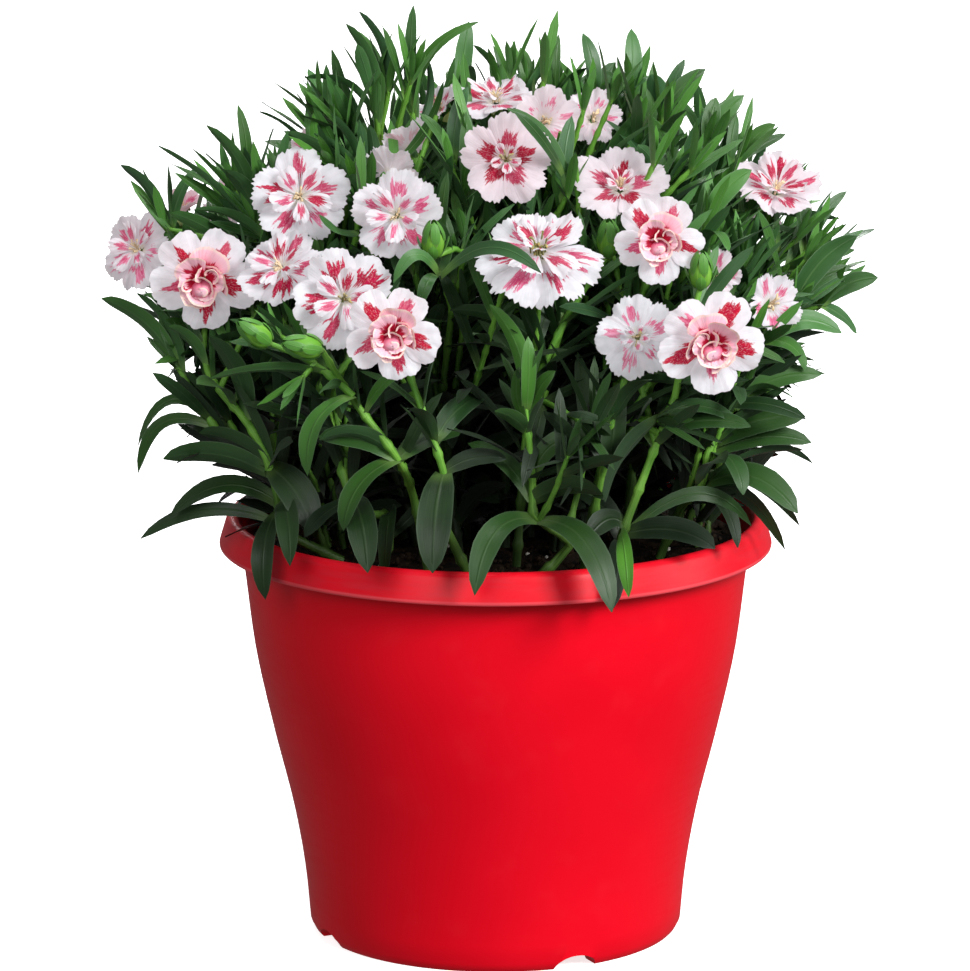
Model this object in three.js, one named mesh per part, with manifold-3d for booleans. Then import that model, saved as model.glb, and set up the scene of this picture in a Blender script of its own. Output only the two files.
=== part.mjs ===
// A potted dianthus: a round plastic pot filled with growing mix, leafy stems that stand in it,
// and the toothed, streaked blooms that the stems carry. Millimetres, +Z up. The origin is the
// centre of the pot's foot, and headings are degrees from the front (-Y) towards +X.
import * as THREE from 'three';
import { mergeVertices } from 'three/addons/utils/BufferGeometryUtils.js';
import Module from 'manifold-3d';

const wasm = await Module();
wasm.setup();

// Pot: radius and height of the closed outline, from the middle of the underside, up the outside,
// round the turned-down lip and down the inside.
const POT_SIDES = 36;
const POT_OUTLINE = [
  [0, 5], [63.5, 5], [65.5, 0], [71.5, 0], [74.4, 3.5], [76.1, 22], [80.6, 49], [88.4, 81],
  [95.7, 115], [99.8, 147], [104, 161], [109, 156.2], [110, 157], [107.6, 164.4], [104.6, 168.6],
  [101.8, 167.2], [98.4, 150], [71.5, 9], [0, 9],
];
const NOTCH = { count: 4, firstHeading: 25.5, width: 16, topWidth: 10, height: 5, inner: 58, outer: 80 };

// Growing mix: it fills the pot to below the lip and keeps a small gap to the wall.
const SOIL_SIDES = 24;
const SOIL_LEVEL = 157.5;
const SOIL_ROUGHNESS = 1.6;
const SOIL_RINGS = [38, 76];
const SOIL_BOTTOM = 9.4;
const SOIL_WALL = [[97.6, 156], [70.2, SOIL_BOTTOM]];

// Stems: radii of the round stalk and the depth and clearance of its hole in the mix.
const STEM = {
  rootRadius: 1.9, forkRadius: 1.5, topRadius: 1.15, sides: 4, rootDepth: 15, holeGap: 0.5, collar: 2,
  leafySides: 3, step: 52, bow: 0.08, clear: 0.3,
};
// Ways to bow a branch sideways, in millimetres, tried in turn until it clears its neighbours.
const SWAYS = [
  [0, 0], [6, 0], [-6, 0], [0, 6], [0, -6], [9, 9], [-9, -9], [9, -9], [-9, 9], [14, 0], [-14, 0], [0, 14],
  [0, -14],
];
// Calyx, bud and growing tip: [distance past the end of the stalk, radius].
const CALYX = { length: 16, gap: 0.35, straight: 10, drop: 5 };
const CALYX_PROFILE = [[3, 2.8], [16, 2.9]];
const BUD_PROFILE = [[2, 3.4], [8, 4.2], [14, 1.2]];
const TIP_PROFILE = [[3, 0.6]];
// Leaves: raised edges, arch (share of the length), clearance, and how far the root is sunk. Leaves of
// one shoot stand `apart` along the stalk.
const LEAF = {
  edgeLift: 0.12, arch: 0.12, clear: 0.35, turnJitter: 12, long: 44, rootOffset: 0.5,
  apart: 3.4, pairShare: 0.5, bareMiddle: 30,
};
// Share of the length, share of the width and depth of the keel at each station. A long leaf has one
// station more.
const LEAF_STATIONS = [[0.14, 0.5, 0.9], [0.42, 1, 0.85], [0.74, 0.8, 0.7]];
const SHORT_LEAF_STATIONS = [[0.26, 0.88, 0.85], [0.66, 0.92, 0.75]];
// Ways to bend a leaf, [turn, lift, share of its length], tried in turn until it is clear.
const BENDS = [
  [0, 0, 1], [0, 8, 1], [0, -8, 1], [10, 0, 1], [-10, 0, 1], [14, 10, 0.95], [-14, 10, 0.95],
  [14, -10, 0.95], [-14, -10, 0.95], [25, 0, 0.9], [-25, 0, 0.9], [0, 20, 0.85], [0, -20, 0.85],
  [30, 20, 0.75], [-30, 20, 0.75], [0, 0, 0.65],
];
// Opposite pairs of leaves drawn at random: least and most length, width, twist, and climb of a pair
// on a bare stalk or below a shoot; each higher pair climbs more.
const PAIR = { length: [30, 41], width: [7, 9.5], twist: [-15, 15], low: [12, 40], high: [30, 45], rise: 18 };
// Petals: thickness, the throat that carries them, and shares of a petal's length or width.
const PETAL = {
  thickness: 1.1, throat: 2.3, throatTaper: 0.8, throatDepth: 3.6, hub: 0.9, lean: 4,
  middle: 0.6, slitRoot: 0.6, halfWidth: 0.43, toothDip: 0.91, toothDraw: [0.97, 1.02], rounding: 0.5,
};

// Whorls of a bloom, outermost first: petals, teeth on each petal, reach (of the bloom's radius),
// tilt of the cone that the petals lie on, height of its middle, depth of the slit between petals.
const BLOOM_FORMS = {
  star: [
    { petals: 5, teeth: 3, reach: 1, tilt: 4, rise: 0, slit: 0.42, wave: 0.09 },
    { petals: 5, teeth: 2, reach: 0.74, tilt: 27, rise: 1.7, slit: 0.4, wave: 0.1 },
  ],
  rosette: [
    { petals: 5, teeth: 3, reach: 1, tilt: 2, rise: 0, slit: 0.5, wave: 0.07 },
    { petals: 5, teeth: 2, reach: 0.62, tilt: 34, rise: 1.7, slit: 0.5, wave: 0.06 },
    { petals: 3, teeth: 1, reach: 0.38, tilt: 60, rise: 3.4, slit: 0.62, wave: 0.03 },
  ],
  double: [
    { petals: 6, teeth: 3, reach: 1, tilt: -8, rise: 0, slit: 0.52, wave: 0.08 },
    { petals: 5, teeth: 3, reach: 0.84, tilt: 14, rise: 1.8, slit: 0.45, wave: 0.09 },
    { petals: 5, teeth: 1, reach: 0.5, tilt: 42, rise: 3.6, slit: 0.4, wave: 0.06 },
  ],
  funnel: [
    { petals: 5, teeth: 3, reach: 1, tilt: 14, rise: 0, slit: 0.36, wave: 0.1 },
    { petals: 5, teeth: 2, reach: 0.78, tilt: 38, rise: 1.7, slit: 0.36, wave: 0.1 },
  ],
  small: [
    { petals: 5, teeth: 2, reach: 1, tilt: 20, rise: 0, slit: 0.4, wave: 0.1 },
  ],
  opening: [
    { petals: 4, teeth: 2, reach: 1, tilt: 52, rise: 0, slit: 0.4, wave: 0.05 },
  ],
};

// Blooms: place of the eye, heading and climb of the way that it faces, radius, form, turn about
// the axis.
const BLOOMS = {
  bloom_far_left: { at: [-141, 2, 274], faces: [-40, 25], radius: 17, form: 'star', turn: 0 },
  bloom_half_open_left: { at: [-124, 16, 287], faces: [25, 65], radius: 11, form: 'opening', turn: 20 },
  rosette_left: { at: [-113, -46, 272], faces: [-5, -8], radius: 22, form: 'rosette', turn: -20 },
  bloom_upper_left: { at: [-76, -36, 302], faces: [8, 22], radius: 20, form: 'star', turn: 20 },
  bloom_behind_upper_left: { at: [-73, 6, 313], faces: [-20, 35], radius: 10, form: 'opening', turn: 0 },
  bloom_centre_left: { at: [-38, -66, 300], faces: [-8, 12], radius: 18.5, form: 'star', turn: 15 },
  bloom_frilled_back: { at: [-41, -32, 311], faces: [160, 40], radius: 12, form: 'small', turn: 0 },
  bloom_behind_centre_left: { at: [-34, 0, 315], faces: [-150, 40], radius: 13, form: 'small', turn: 30 },
  bloom_left_of_middle: { at: [-82, -64, 279], faces: [-30, 46], radius: 18.5, form: 'star', turn: 10 },
  bloom_open_middle: { at: [-58, -90, 272], faces: [0, 20], radius: 21, form: 'star', turn: 40 },
  rosette_middle: { at: [-39, -122, 265], faces: [2, -5], radius: 19, form: 'rosette', turn: -20 },
  bloom_top_left: { at: [-22, 26, 326], faces: [-60, 40], radius: 12, form: 'small', turn: 0 },
  bloom_top: { at: [0, 6, 333], faces: [0, 76], radius: 18.5, form: 'star', turn: 0 },
  bloom_top_front: { at: [4, -50, 319], faces: [0, 14], radius: 19, form: 'star', turn: 18 },
  bloom_top_right_back: { at: [19, -14, 328], faces: [28, 30], radius: 15, form: 'small', turn: 0 },
  bloom_double: { at: [16, -92, 290], faces: [0, 54], radius: 26, form: 'double', turn: 0 },
  bloom_funnel: { at: [48, -40, 306], faces: [0, 52], radius: 20, form: 'funnel', turn: 18 },
  rosette_right: { at: [62, -84, 294], faces: [0, -3], radius: 18, form: 'rosette', turn: -12 },
  bloom_far_right: { at: [110, 0, 298], faces: [18, 56], radius: 19, form: 'funnel', turn: 0 },
  bloom_pale_lower: { at: [54, -84, 256], faces: [-6, 8], radius: 17, form: 'star', turn: 30 },
  rosette_lower_right: { at: [81, -108, 259], faces: [6, -6], radius: 21, form: 'rosette', turn: -20 },
  bloom_hidden_right: { at: [84, -60, 275], faces: [10, 30], radius: 11, form: 'small', turn: 0 },
  bloom_low_right: { at: [106, -50, 262], faces: [30, 25], radius: 13, form: 'small', turn: 40 },
  bloom_behind_funnel: { at: [38, 4, 326], faces: [0, 35], radius: 13, form: 'small', turn: 0 },
  bloom_back_left: { at: [-104, 62, 282], faces: [-120, 30], radius: 19, form: 'star', turn: 0 },
  bloom_back_mid_left: { at: [-48, 96, 286], faces: [-160, 26], radius: 20, form: 'star', turn: 10 },
  bloom_back_middle: { at: [14, 70, 316], faces: [175, 55], radius: 19, form: 'star', turn: 30 },
  bloom_back_mid_right: { at: [46, 104, 277], faces: [160, 20], radius: 20, form: 'rosette', turn: 0 },
  bloom_back_right: { at: [104, 60, 282], faces: [120, 30], radius: 19, form: 'star', turn: 50 },
};

// Shoots: the joint that their leaves grow from, and each leaf as [heading, climb, length, width,
// twist about its own length, arch]. `more` adds pairs of leaves round the same joint.
const SHOOTS = {
  tall_left: { at: [-33, 8, 328], leaves: [
    [170, 85, 42, 6.5, 0], [95, 65, 46, 7, 20, 0.2], [-155, 75, 40, 4.5, 0], [-55, 80, 36, 5, 0]] },
  tall_left_second: { at: [-42, 4, 337], leaves: [
    [-105, 70, 33, 7.5, 30], [-125, 60, 33, 6, 0]] },
  tall_left_third: { at: [-47, -2, 330], leaves: [
    [-100, 72, 36, 8.5, 40], [-100, 28, 32, 6, 10, 0.2]] },
  broad_left: { at: [-49, -24, 302], leaves: [
    [-50, 80, 28, 7, 20], [-100, 50, 33, 7, 40], [-120, 65, 39, 9, 40], [-110, 55, 48, 10, 50],
    [-175, 70, 41, 9, 30]] },
  inner_left: { at: [-40, -10, 310], leaves: [[80, 60, 38, 7, 0, -0.1]] },
  thin_left: { at: [-70, -10, 309], leaves: [[-95, 45, 31, 6, 0], [-115, 75, 33, 6, 0]] },
  edge_left: { at: [-99, 0, 294], leaves: [[-145, 85, 38, 6, 0]] },
  fan_left: { at: [-94, -20, 289], leaves: [
    [-80, 65, 43, 9, 50], [-55, 65, 33, 10, 50], [-100, 40, 53, 7, 20, 0.05], [-70, 35, 32, 7, 30]] },
  far_left: { at: [-130, -4, 285], leaves: [
    [-95, 55, 29, 8, 60], [180, 80, 26, 7, 40], [130, 65, 28, 7, 30]] },
  between_centre: { at: [-16, -22, 314], leaves: [
    [140, 75, 29, 8, 10], [-125, 60, 26, 5, 0]] },
  below_centre_left: { at: [-13, -66, 286], leaves: [
    [-120, 70, 27, 9, 10], [-125, 65, 35, 5, 0]] },
  top_back_left: { at: [3, 36, 330], leaves: [
    [-105, 60, 23, 6, 20], [-135, 70, 25, 4.5, 0]] },
  top_back: { at: [12, 32, 331], leaves: [
    [-145, 80, 19, 7, 0], [90, 65, 23, 6, 0]] },
  top_back_right: { at: [24, 26, 329], leaves: [
    [165, 75, 27, 4.5, 0], [70, 60, 23, 6, 10]] },
  top_right: { at: [38, 18, 328], leaves: [
    [-140, 80, 30, 9, 0], [145, 75, 28, 9, 0], [25, 70, 20, 8, 0]] },
  top_right_second: { at: [54, 14, 330], leaves: [
    [-175, 80, 30, 9, 0], [-55, 75, 26, 6, 0], [125, 55, 21, 7, 20]] },
  top_right_third: { at: [65, 2, 326], leaves: [
    [-40, 70, 20, 10, 10], [105, 50, 29, 8, 40]] },
  wide_front_top: { at: [28, -40, 304], leaves: [
    [-75, 55, 42, 8.5, 60], [130, 80, 36, 8, 10]] },
  right_of_funnel: { at: [68, -24, 305], leaves: [
    [-115, 70, 29, 9, 20], [70, 60, 23, 8, 30], [-60, 62, 25, 8, 30], [-120, 60, 41, 6, 10]] },
  upper_right: { at: [84, -6, 315], leaves: [
    [145, 80, 21, 9, 10], [110, 65, 28, 9, 40], [-135, 60, 29, 6, 0]] },
  edge_upper_right: { at: [96, 12, 308], leaves: [
    [100, 45, 20, 7, 50], [110, 28, 24, 5, 20, 0.05], [155, 75, 22, 6, 0]] },
  long_right: { at: [81, -46, 292], leaves: [
    [105, 50, 28, 10, 50], [35, -15, 17, 8, 0, 0.25]] },
  outer_right: { at: [124, -6, 276], leaves: [
    [110, 70, 24, 8, 10], [120, 60, 29, 5, 20], [-170, 65, 37, 6, 0]] },
  spray_right: { at: [116, -30, 256], leaves: [
    [95, 50, 38, 10, 60], [110, 55, 41, 6, 30], [90, 45, 33, 6, 30]] },
  above_lower_right: { at: [97, -44, 248], leaves: [
    [80, 45, 33, 9, 60], [35, 72, 30, 8, 30], [95, 30, 37, 6, 20]] },
  tip_right: { at: [127, -14, 255], leaves: [
    [95, 25, 25, 8, 50], [105, -35, 20, 7, 20, 0.1]] },
  arch_right: { at: [103, -54, 248], leaves: [
    [100, 5, 31, 9, 20, 0.22], [78, -30, 20, 8, 10, 0.25]] },
  low_right: { at: [94, -58, 226], leaves: [
    [95, 25, 33, 8, 30], [65, 15, 24, 9, 20, 0.25], [100, -20, 28, 5, 0]] },
  low_right_second: { at: [83, -64, 210], leaves: [
    [85, 20, 35, 10, 30], [95, 5, 37, 8, 10], [62, -45, 31, 9, 10, 0.3]] },
  low_right_third: { at: [80, -60, 194], leaves: [
    [100, 15, 42, 5, 0], [95, -12, 36, 8, 10, 0.2], [80, -16, 44, 11, 10, 0.25], [45, -35, 28, 7, 0, 0.25]] },
  front_tip: { at: [11, -92, 233], leaves: [
    [-105, 70, 39, 8.5, 30], [-170, 80, 35, 6, 0], [135, 80, 27, 5, 0]] },
  front_upper: { at: [12, -92, 222], leaves: [[65, 65, 26, 7, 30], [-65, 40, 18, 6.5, 20]] },
  front_middle: { at: [14, -92, 203], leaves: [
    [80, 32, 29, 8, 20, 0.25], [85, -10, 28, 5, 0]] },
  front_low: { at: [15, -91, 187], leaves: [
    [40, -33, 54, 10, 10, 0.22], [-35, -28, 44, 9, 10, 0.3]] },
  under_pale: { at: [48, -82, 236], leaves: [
    [-20, -66, 31, 9, 0, 0.1]] },
  under_lower_right: { at: [62, -84, 224], leaves: [
    [-55, -50, 38, 11, 20, 0.12], [80, -5, 29, 7, 0, 0.2]] },
  base_right: { at: [50, -80, 182], leaves: [
    [-50, -8, 24, 8, 0, 0.2], [62, -6, 35, 10, 0], [-110, 20, 34, 9, 0], [-10, -24, 40, 7, 20, 0.2]] },
  front_left_top: { at: [-54, -94, 233], leaves: [
    [-55, -45, 34, 10, 0, 0.3], [80, 45, 25, 7, 10]] },
  front_left_mid: { at: [-38, -96, 212], leaves: [
    [-80, 15, 30, 7, 20, 0.2], [-60, -45, 34, 9, 0, 0.2]] },
  middle_low: { at: [-20, -96, 206], leaves: [
    [-5, -48, 46, 11.5, 0, 0.16], [85, 15, 25, 7, 10]] },
  front_left_base: { at: [-56, -86, 194], leaves: [
    [12, -33, 40, 10, 0, 0.2], [-70, -30, 22, 8, 10]] },
  left_base: { at: [-88, -66, 203], leaves: [
    [30, -50, 36, 11.5, 0, 0.12], [-105, 25, 31, 10, 20], [-110, 48, 54, 7, 20, 0.05],
    [-100, 8, 45, 9.5, 30]] },
  left_rim: { at: [-84, -60, 184], leaves: [
    [0, -28, 40, 8.5, 0, 0.25], [-95, -8, 50, 8, 0, 0.2], [-105, 15, 38, 7, 10]] },
  left_broad: { at: [-96, -62, 218], leaves: [[-75, 70, 40, 11, 40]] },
  left_outer_low: { at: [-108, -44, 211], leaves: [
    [-105, 45, 42, 9.5, 40], [-100, -14, 38, 6, 0, 0.42], [-118, 52, 60, 7, 30]] },
  left_outer_top: { at: [-124, -32, 234], leaves: [
    [-105, 40, 40, 9.5, 60], [-90, 50, 37, 8, 40], [-105, 56, 37, 6, 20]] },
  under_rosette_left: { at: [-113, -44, 238], leaves: [
    [-95, 45, 20, 8, 40]] },
  back_tip_left: { at: [-66, 60, 302], more: 2, leaves: [[-150, 60, 38, 9, 0]] },
  back_tip_middle: { at: [-14, 62, 318], more: 2, leaves: [[170, 62, 40, 9, 0]] },
  back_tip_right: { at: [66, 58, 304], more: 2, leaves: [[150, 60, 40, 9, 0]] },
  back_left_edge: { at: [-126, 44, 250], more: 2, leaves: [[-110, 40, 36, 8, 0]] },
  back_right_edge: { at: [126, 44, 250], more: 2, leaves: [[110, 40, 36, 8, 0]] },
  back_low_left: { at: [-88, 82, 214], more: 2, leaves: [
    [-140, 5, 42, 9, 0, 0.25], [-120, -20, 40, 9, 0, 0.25]] },
  back_low_middle: { at: [-16, 100, 222], more: 2, leaves: [
    [180, -30, 42, 10, 0, 0.25], [-165, 20, 38, 9, 0, 0.2]] },
  back_low_right: { at: [76, 92, 212], more: 2, leaves: [
    [140, 0, 42, 9, 0, 0.25], [160, -30, 42, 10, 0, 0.25]] },
  back_rim: { at: [24, 92, 188], more: 2, leaves: [[165, -25, 42, 10, 0, 0.25]] },
};

// Leafy stems: where the stalk stands in the mix, then its branches. A branch starts at the root,
// or at a fork part of the way up the first branch, passes its joints and ends in a bloom, a bud
// or a tip.
const STEMS = {
  stem_far_left: { root: [-44, 4], branches: [
    { bloom: 'bloom_far_left' }, { fork: 0.45, bloom: 'bloom_half_open_left' },
    { fork: 0.55, joints: ['far_left'] }] },
  stem_left_fans: { root: [-36, -6], branches: [
    { joints: ['fan_left'] }, { fork: 0.5, joints: ['edge_left'] }, { fork: 0.4, joints: ['thin_left'] },
    { fork: 0.35, bloom: 'bloom_behind_upper_left' }] },
  stem_rosette_left: { root: [-60, -46], branches: [
    { joints: ['left_rim', 'left_base', 'left_broad', 'under_rosette_left'], bloom: 'rosette_left' }] },
  stem_left_edge: { root: [-66, -22], branches: [
    { joints: ['left_outer_low', 'left_outer_top'] }] },
  stem_upper_left: { root: [-30, -18], branches: [
    { bloom: 'bloom_upper_left' }, { fork: 0.5, joints: ['broad_left'] }] },
  stem_left_of_middle: { root: [-44, -58], branches: [
    { joints: ['front_left_base'], bloom: 'bloom_left_of_middle' },
    { fork: 0.4, bloom: 'bloom_open_middle' }] },
  stem_centre_left: { root: [-14, -38], branches: [
    { bloom: 'bloom_centre_left' }, { fork: 0.5, joints: ['between_centre'] },
    { fork: 0.4, joints: ['below_centre_left'], bud: [-24, -78, 286] }] },
  stem_rosette_middle: { root: [-10, -74], branches: [
    { joints: ['middle_low'], bloom: 'rosette_middle' }] },
  stem_front_left: { root: [-26, -68], branches: [
    { joints: ['front_left_mid', 'front_left_top'], bud: [-66, -108, 256] },
    { fork: 0.8, bud: [-86, -96, 256] }] },
  stem_frilled: { root: [-20, -2], branches: [
    { bloom: 'bloom_frilled_back' }, { fork: 0.5, bloom: 'bloom_behind_centre_left' },
    { fork: 0.6, joints: ['inner_left'] }] },
  stem_tall_left: { root: [-22, 14], branches: [
    { joints: ['tall_left'] }, { fork: 0.6, joints: ['tall_left_second'] },
    { fork: 0.5, joints: ['tall_left_third'] }] },
  stem_top: { root: [0, 10], branches: [
    { bloom: 'bloom_top' }, { fork: 0.5, bloom: 'bloom_top_left' }, { fork: 0.45, joints: ['top_back_left'] },
    { fork: 0.5, joints: ['top_back'] }, { fork: 0.55, joints: ['top_back_right'] }] },
  stem_top_front: { root: [4, -22], branches: [
    { bloom: 'bloom_top_front' }, { fork: 0.5, joints: ['wide_front_top'] }] },
  stem_top_right_back: { root: [14, -4], branches: [
    { bloom: 'bloom_top_right_back' }, { fork: 0.5, bloom: 'bloom_behind_funnel' }] },
  stem_double: { root: [8, -54], branches: [
    { bloom: 'bloom_double' }, { fork: 0.6, bud: [43, -64, 284] }] },
  stem_front: { root: [14, -82], branches: [
    { joints: ['front_low', 'front_middle', 'front_upper', 'front_tip'] }] },
  stem_funnel: { root: [26, -26], branches: [
    { bloom: 'bloom_funnel' }, { fork: 0.5, joints: ['right_of_funnel'] }] },
  stem_rosette_right: { root: [34, -46], branches: [
    { bloom: 'rosette_right' }, { fork: 0.5, bloom: 'bloom_hidden_right' }] },
  stem_pale_lower: { root: [34, -66], branches: [
    { joints: ['under_pale'], bloom: 'bloom_pale_lower' }] },
  stem_rosette_lower_right: { root: [48, -72], branches: [
    { joints: ['base_right'], bloom: 'rosette_lower_right' }, { fork: 0.55, joints: ['under_lower_right'] },
    { fork: 0.7, bud: [78, -82, 275] }] },
  stem_long_right: { root: [50, -30], branches: [
    { joints: ['long_right'] }, { fork: 0.5, joints: ['arch_right'] },
    { fork: 0.45, bloom: 'bloom_low_right' }] },
  stem_far_right: { root: [50, -6], branches: [
    { bloom: 'bloom_far_right' }, { fork: 0.5, joints: ['outer_right'] },
    { fork: 0.4, joints: ['spray_right'] }, { fork: 0.45, joints: ['tip_right'] }] },
  stem_top_right: { root: [30, 6], branches: [
    { joints: ['top_right_second'] }, { fork: 0.5, joints: ['top_right'] },
    { fork: 0.5, joints: ['top_right_third'] }, { fork: 0.4, joints: ['upper_right'] },
    { fork: 0.45, joints: ['edge_upper_right'] }] },
  stem_low_right: { root: [64, -42], branches: [
    { joints: ['low_right_third', 'low_right_second', 'low_right'] },
    { fork: 0.5, joints: ['above_lower_right'] }] },
  stem_back_left: { root: [-44, 44], branches: [
    { bloom: 'bloom_back_left' }, { fork: 0.4, joints: ['back_tip_left'] },
    { fork: 0.35, joints: ['back_left_edge'] }, { fork: 0.25, joints: ['back_low_left'] }] },
  stem_back_mid_left: { root: [-14, 64], branches: [
    { bloom: 'bloom_back_mid_left' }, { fork: 0.3, joints: ['back_low_middle'] }] },
  stem_back_middle: { root: [8, 40], branches: [
    { bloom: 'bloom_back_middle' }, { fork: 0.5, joints: ['back_tip_middle'] }] },
  stem_back_mid_right: { root: [24, 66], branches: [
    { joints: ['back_rim'], bloom: 'bloom_back_mid_right' }] },
  stem_back_right: { root: [46, 40], branches: [
    { bloom: 'bloom_back_right' }, { fork: 0.4, joints: ['back_tip_right'] },
    { fork: 0.35, joints: ['back_right_edge'] }, { fork: 0.25, joints: ['back_low_right'] }] },
};

// ---------------------------------------------------------------- directions and random draws

const UP = new THREE.Vector3(0, 0, 1);
const radians = THREE.MathUtils.degToRad;
const point = (xyz) => new THREE.Vector3(...xyz);

let drawState = 7;
function draw(low, high) {
  drawState = (Math.imul(drawState, 1664525) + 1013904223) >>> 0;
  return low + (high - low) * drawState / 4294967296;
}

function direction(heading, climb) {
  const level = Math.cos(radians(climb));
  return new THREE.Vector3(
    Math.sin(radians(heading)) * level,
    -Math.cos(radians(heading)) * level,
    Math.sin(radians(climb)),
  );
}

// ---------------------------------------------------------------- solids

// A closed solid of triangles, turned inside out first if its faces point inwards.
function closedSolid(points, faces) {
  let volume = 0;
  for (const [a, b, c] of faces) {
    volume += points[a].dot(new THREE.Vector3().crossVectors(points[b], points[c]));
  }
  const outward = volume > 0 ? faces : faces.map(([a, b, c]) => [a, c, b]);
  const vertProperties = Float32Array.from(points.flatMap((p) => [p.x, p.y, p.z]));
  const triVerts = Uint32Array.from(outward.flat());
  return new wasm.Manifold(new wasm.Mesh({ numProp: 3, vertProperties, triVerts }));
}

// A three.js geometry as a solid: seams merged, and triangles that shrink to a line left out.
function solidOf(geometry) {
  geometry.deleteAttribute('normal');
  geometry.deleteAttribute('uv');
  const merged = mergeVertices(geometry, 1e-4);
  const place = merged.getAttribute('position');
  const points = [];
  for (let i = 0; i < place.count; i += 1) {
    points.push(new THREE.Vector3().fromBufferAttribute(place, i));
  }
  const corners = Array.from(merged.getIndex().array);
  const faces = [];
  for (let i = 0; i < corners.length; i += 3) {
    const [a, b, c] = corners.slice(i, i + 3);
    if (a !== b && b !== c && c !== a) faces.push([a, b, c]);
  }
  return closedSolid(points, faces);
}

// Rings of equal size joined side by side. Each end closes on a point, or with a flat cap.
function loftSolid(rings, lastPoint, firstPoint) {
  const points = rings.flat();
  const size = rings[0].length;
  const faces = [];
  const closeEnd = (start, apex, turned) => {
    const face = (a, b, c) => faces.push(turned ? [a, c, b] : [a, b, c]);
    if (apex) points.push(apex);
    for (let k = 0; k < size; k += 1) {
      if (apex) face(start + k, start + (k + 1) % size, points.length - 1);
      else if (k > 0 && k < size - 1) face(start, start + k, start + k + 1);
    }
  };
  for (let row = 0; row + 1 < rings.length; row += 1) {
    for (let k = 0; k < size; k += 1) {
      const near = row * size + k;
      const next = row * size + (k + 1) % size;
      faces.push([near, next, near + size], [next, next + size, near + size]);
    }
  }
  closeEnd(0, firstPoint, true);
  closeEnd((rings.length - 1) * size, lastPoint, false);
  return closedSolid(points, faces);
}

// A stalk along a row of points, with a radius at each.
function tubeSolid(line, radii, sides) {
  let across = new THREE.Vector3(1, 0, 0);
  const rings = line.map((centre, i) => {
    const before = line[Math.max(i - 1, 0)];
    const after = line[Math.min(i + 1, line.length - 1)];
    const along = after.clone().sub(before).normalize();
    across = across.clone().addScaledVector(along, -across.dot(along)).normalize();
    const other = new THREE.Vector3().crossVectors(along, across);
    return Array.from({ length: sides }, (_, k) => {
      const angle = 2 * Math.PI * k / sides;
      return centre.clone()
        .addScaledVector(across, radii[i] * Math.cos(angle))
        .addScaledVector(other, radii[i] * Math.sin(angle));
    });
  });
  return loftSolid(rings);
}

// The largest body of a join: sealed hollows are filled and loose scraps are dropped.
function wholeBody(solid) {
  const bodies = solid.decompose();
  bodies.sort((a, b) => b.volume() - a.volume());
  return bodies[0];
}

// ---------------------------------------------------------------- pot and growing mix

function potSolid() {
  const outline = POT_OUTLINE.map(([radius, height]) => new THREE.Vector2(radius, height));
  const turned = new THREE.LatheGeometry(outline, POT_SIDES);
  turned.rotateX(Math.PI / 2);
  let pot = solidOf(turned);
  for (let k = 0; k < NOTCH.count; k += 1) {
    const shape = new THREE.Shape([
      new THREE.Vector2(-NOTCH.width / 2, -1),
      new THREE.Vector2(NOTCH.width / 2, -1),
      new THREE.Vector2(NOTCH.topWidth / 2, NOTCH.height),
      new THREE.Vector2(-NOTCH.topWidth / 2, NOTCH.height),
    ]);
    const cutter = new THREE.ExtrudeGeometry(shape, { depth: NOTCH.outer - NOTCH.inner, bevelEnabled: false });
    cutter.translate(0, 0, NOTCH.inner);
    cutter.rotateX(Math.PI / 2);
    cutter.rotateZ(radians(NOTCH.firstHeading + 360 * k / NOTCH.count));
    pot = pot.subtract(solidOf(cutter));
  }
  return pot;
}

function soilSolid() {
  const rings = [];
  for (const radius of SOIL_RINGS) {
    rings.push(circle(radius, () => SOIL_LEVEL + draw(-SOIL_ROUGHNESS, SOIL_ROUGHNESS)));
  }
  for (const [radius, height] of SOIL_WALL) {
    rings.push(circle(radius, () => height));
  }
  const points = [new THREE.Vector3(0, 0, SOIL_LEVEL), ...rings.flat(), new THREE.Vector3(0, 0, SOIL_BOTTOM)];
  const faces = [];
  for (let k = 0; k < SOIL_SIDES; k += 1) {
    const next = (k + 1) % SOIL_SIDES;
    faces.push([0, 1 + k, 1 + next]);
    for (let row = 0; row + 1 < rings.length; row += 1) {
      const upper = 1 + row * SOIL_SIDES;
      const lower = upper + SOIL_SIDES;
      faces.push([upper + k, lower + k, upper + next], [upper + next, lower + k, lower + next]);
    }
    const bottom = 1 + (rings.length - 1) * SOIL_SIDES;
    faces.push([bottom + k, points.length - 1, bottom + next]);
  }
  return closedSolid(points, faces);
}

function circle(radius, heightOf) {
  return Array.from({ length: SOIL_SIDES }, (_, k) => {
    const angle = 2 * Math.PI * k / SOIL_SIDES;
    return new THREE.Vector3(radius * Math.cos(angle), radius * Math.sin(angle), heightOf());
  });
}

// ---------------------------------------------------------------- blooms

// Turns a bloom built round +Z to its place: +Z becomes the way it faces, +X stays level.
function bloomPlace(bloom) {
  const facing = direction(...bloom.faces);
  const right = new THREE.Vector3().crossVectors(UP, facing).normalize();
  const upright = new THREE.Vector3().crossVectors(facing, right);
  return new THREE.Matrix4().makeBasis(right, upright, facing).setPosition(...bloom.at);
}

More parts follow.
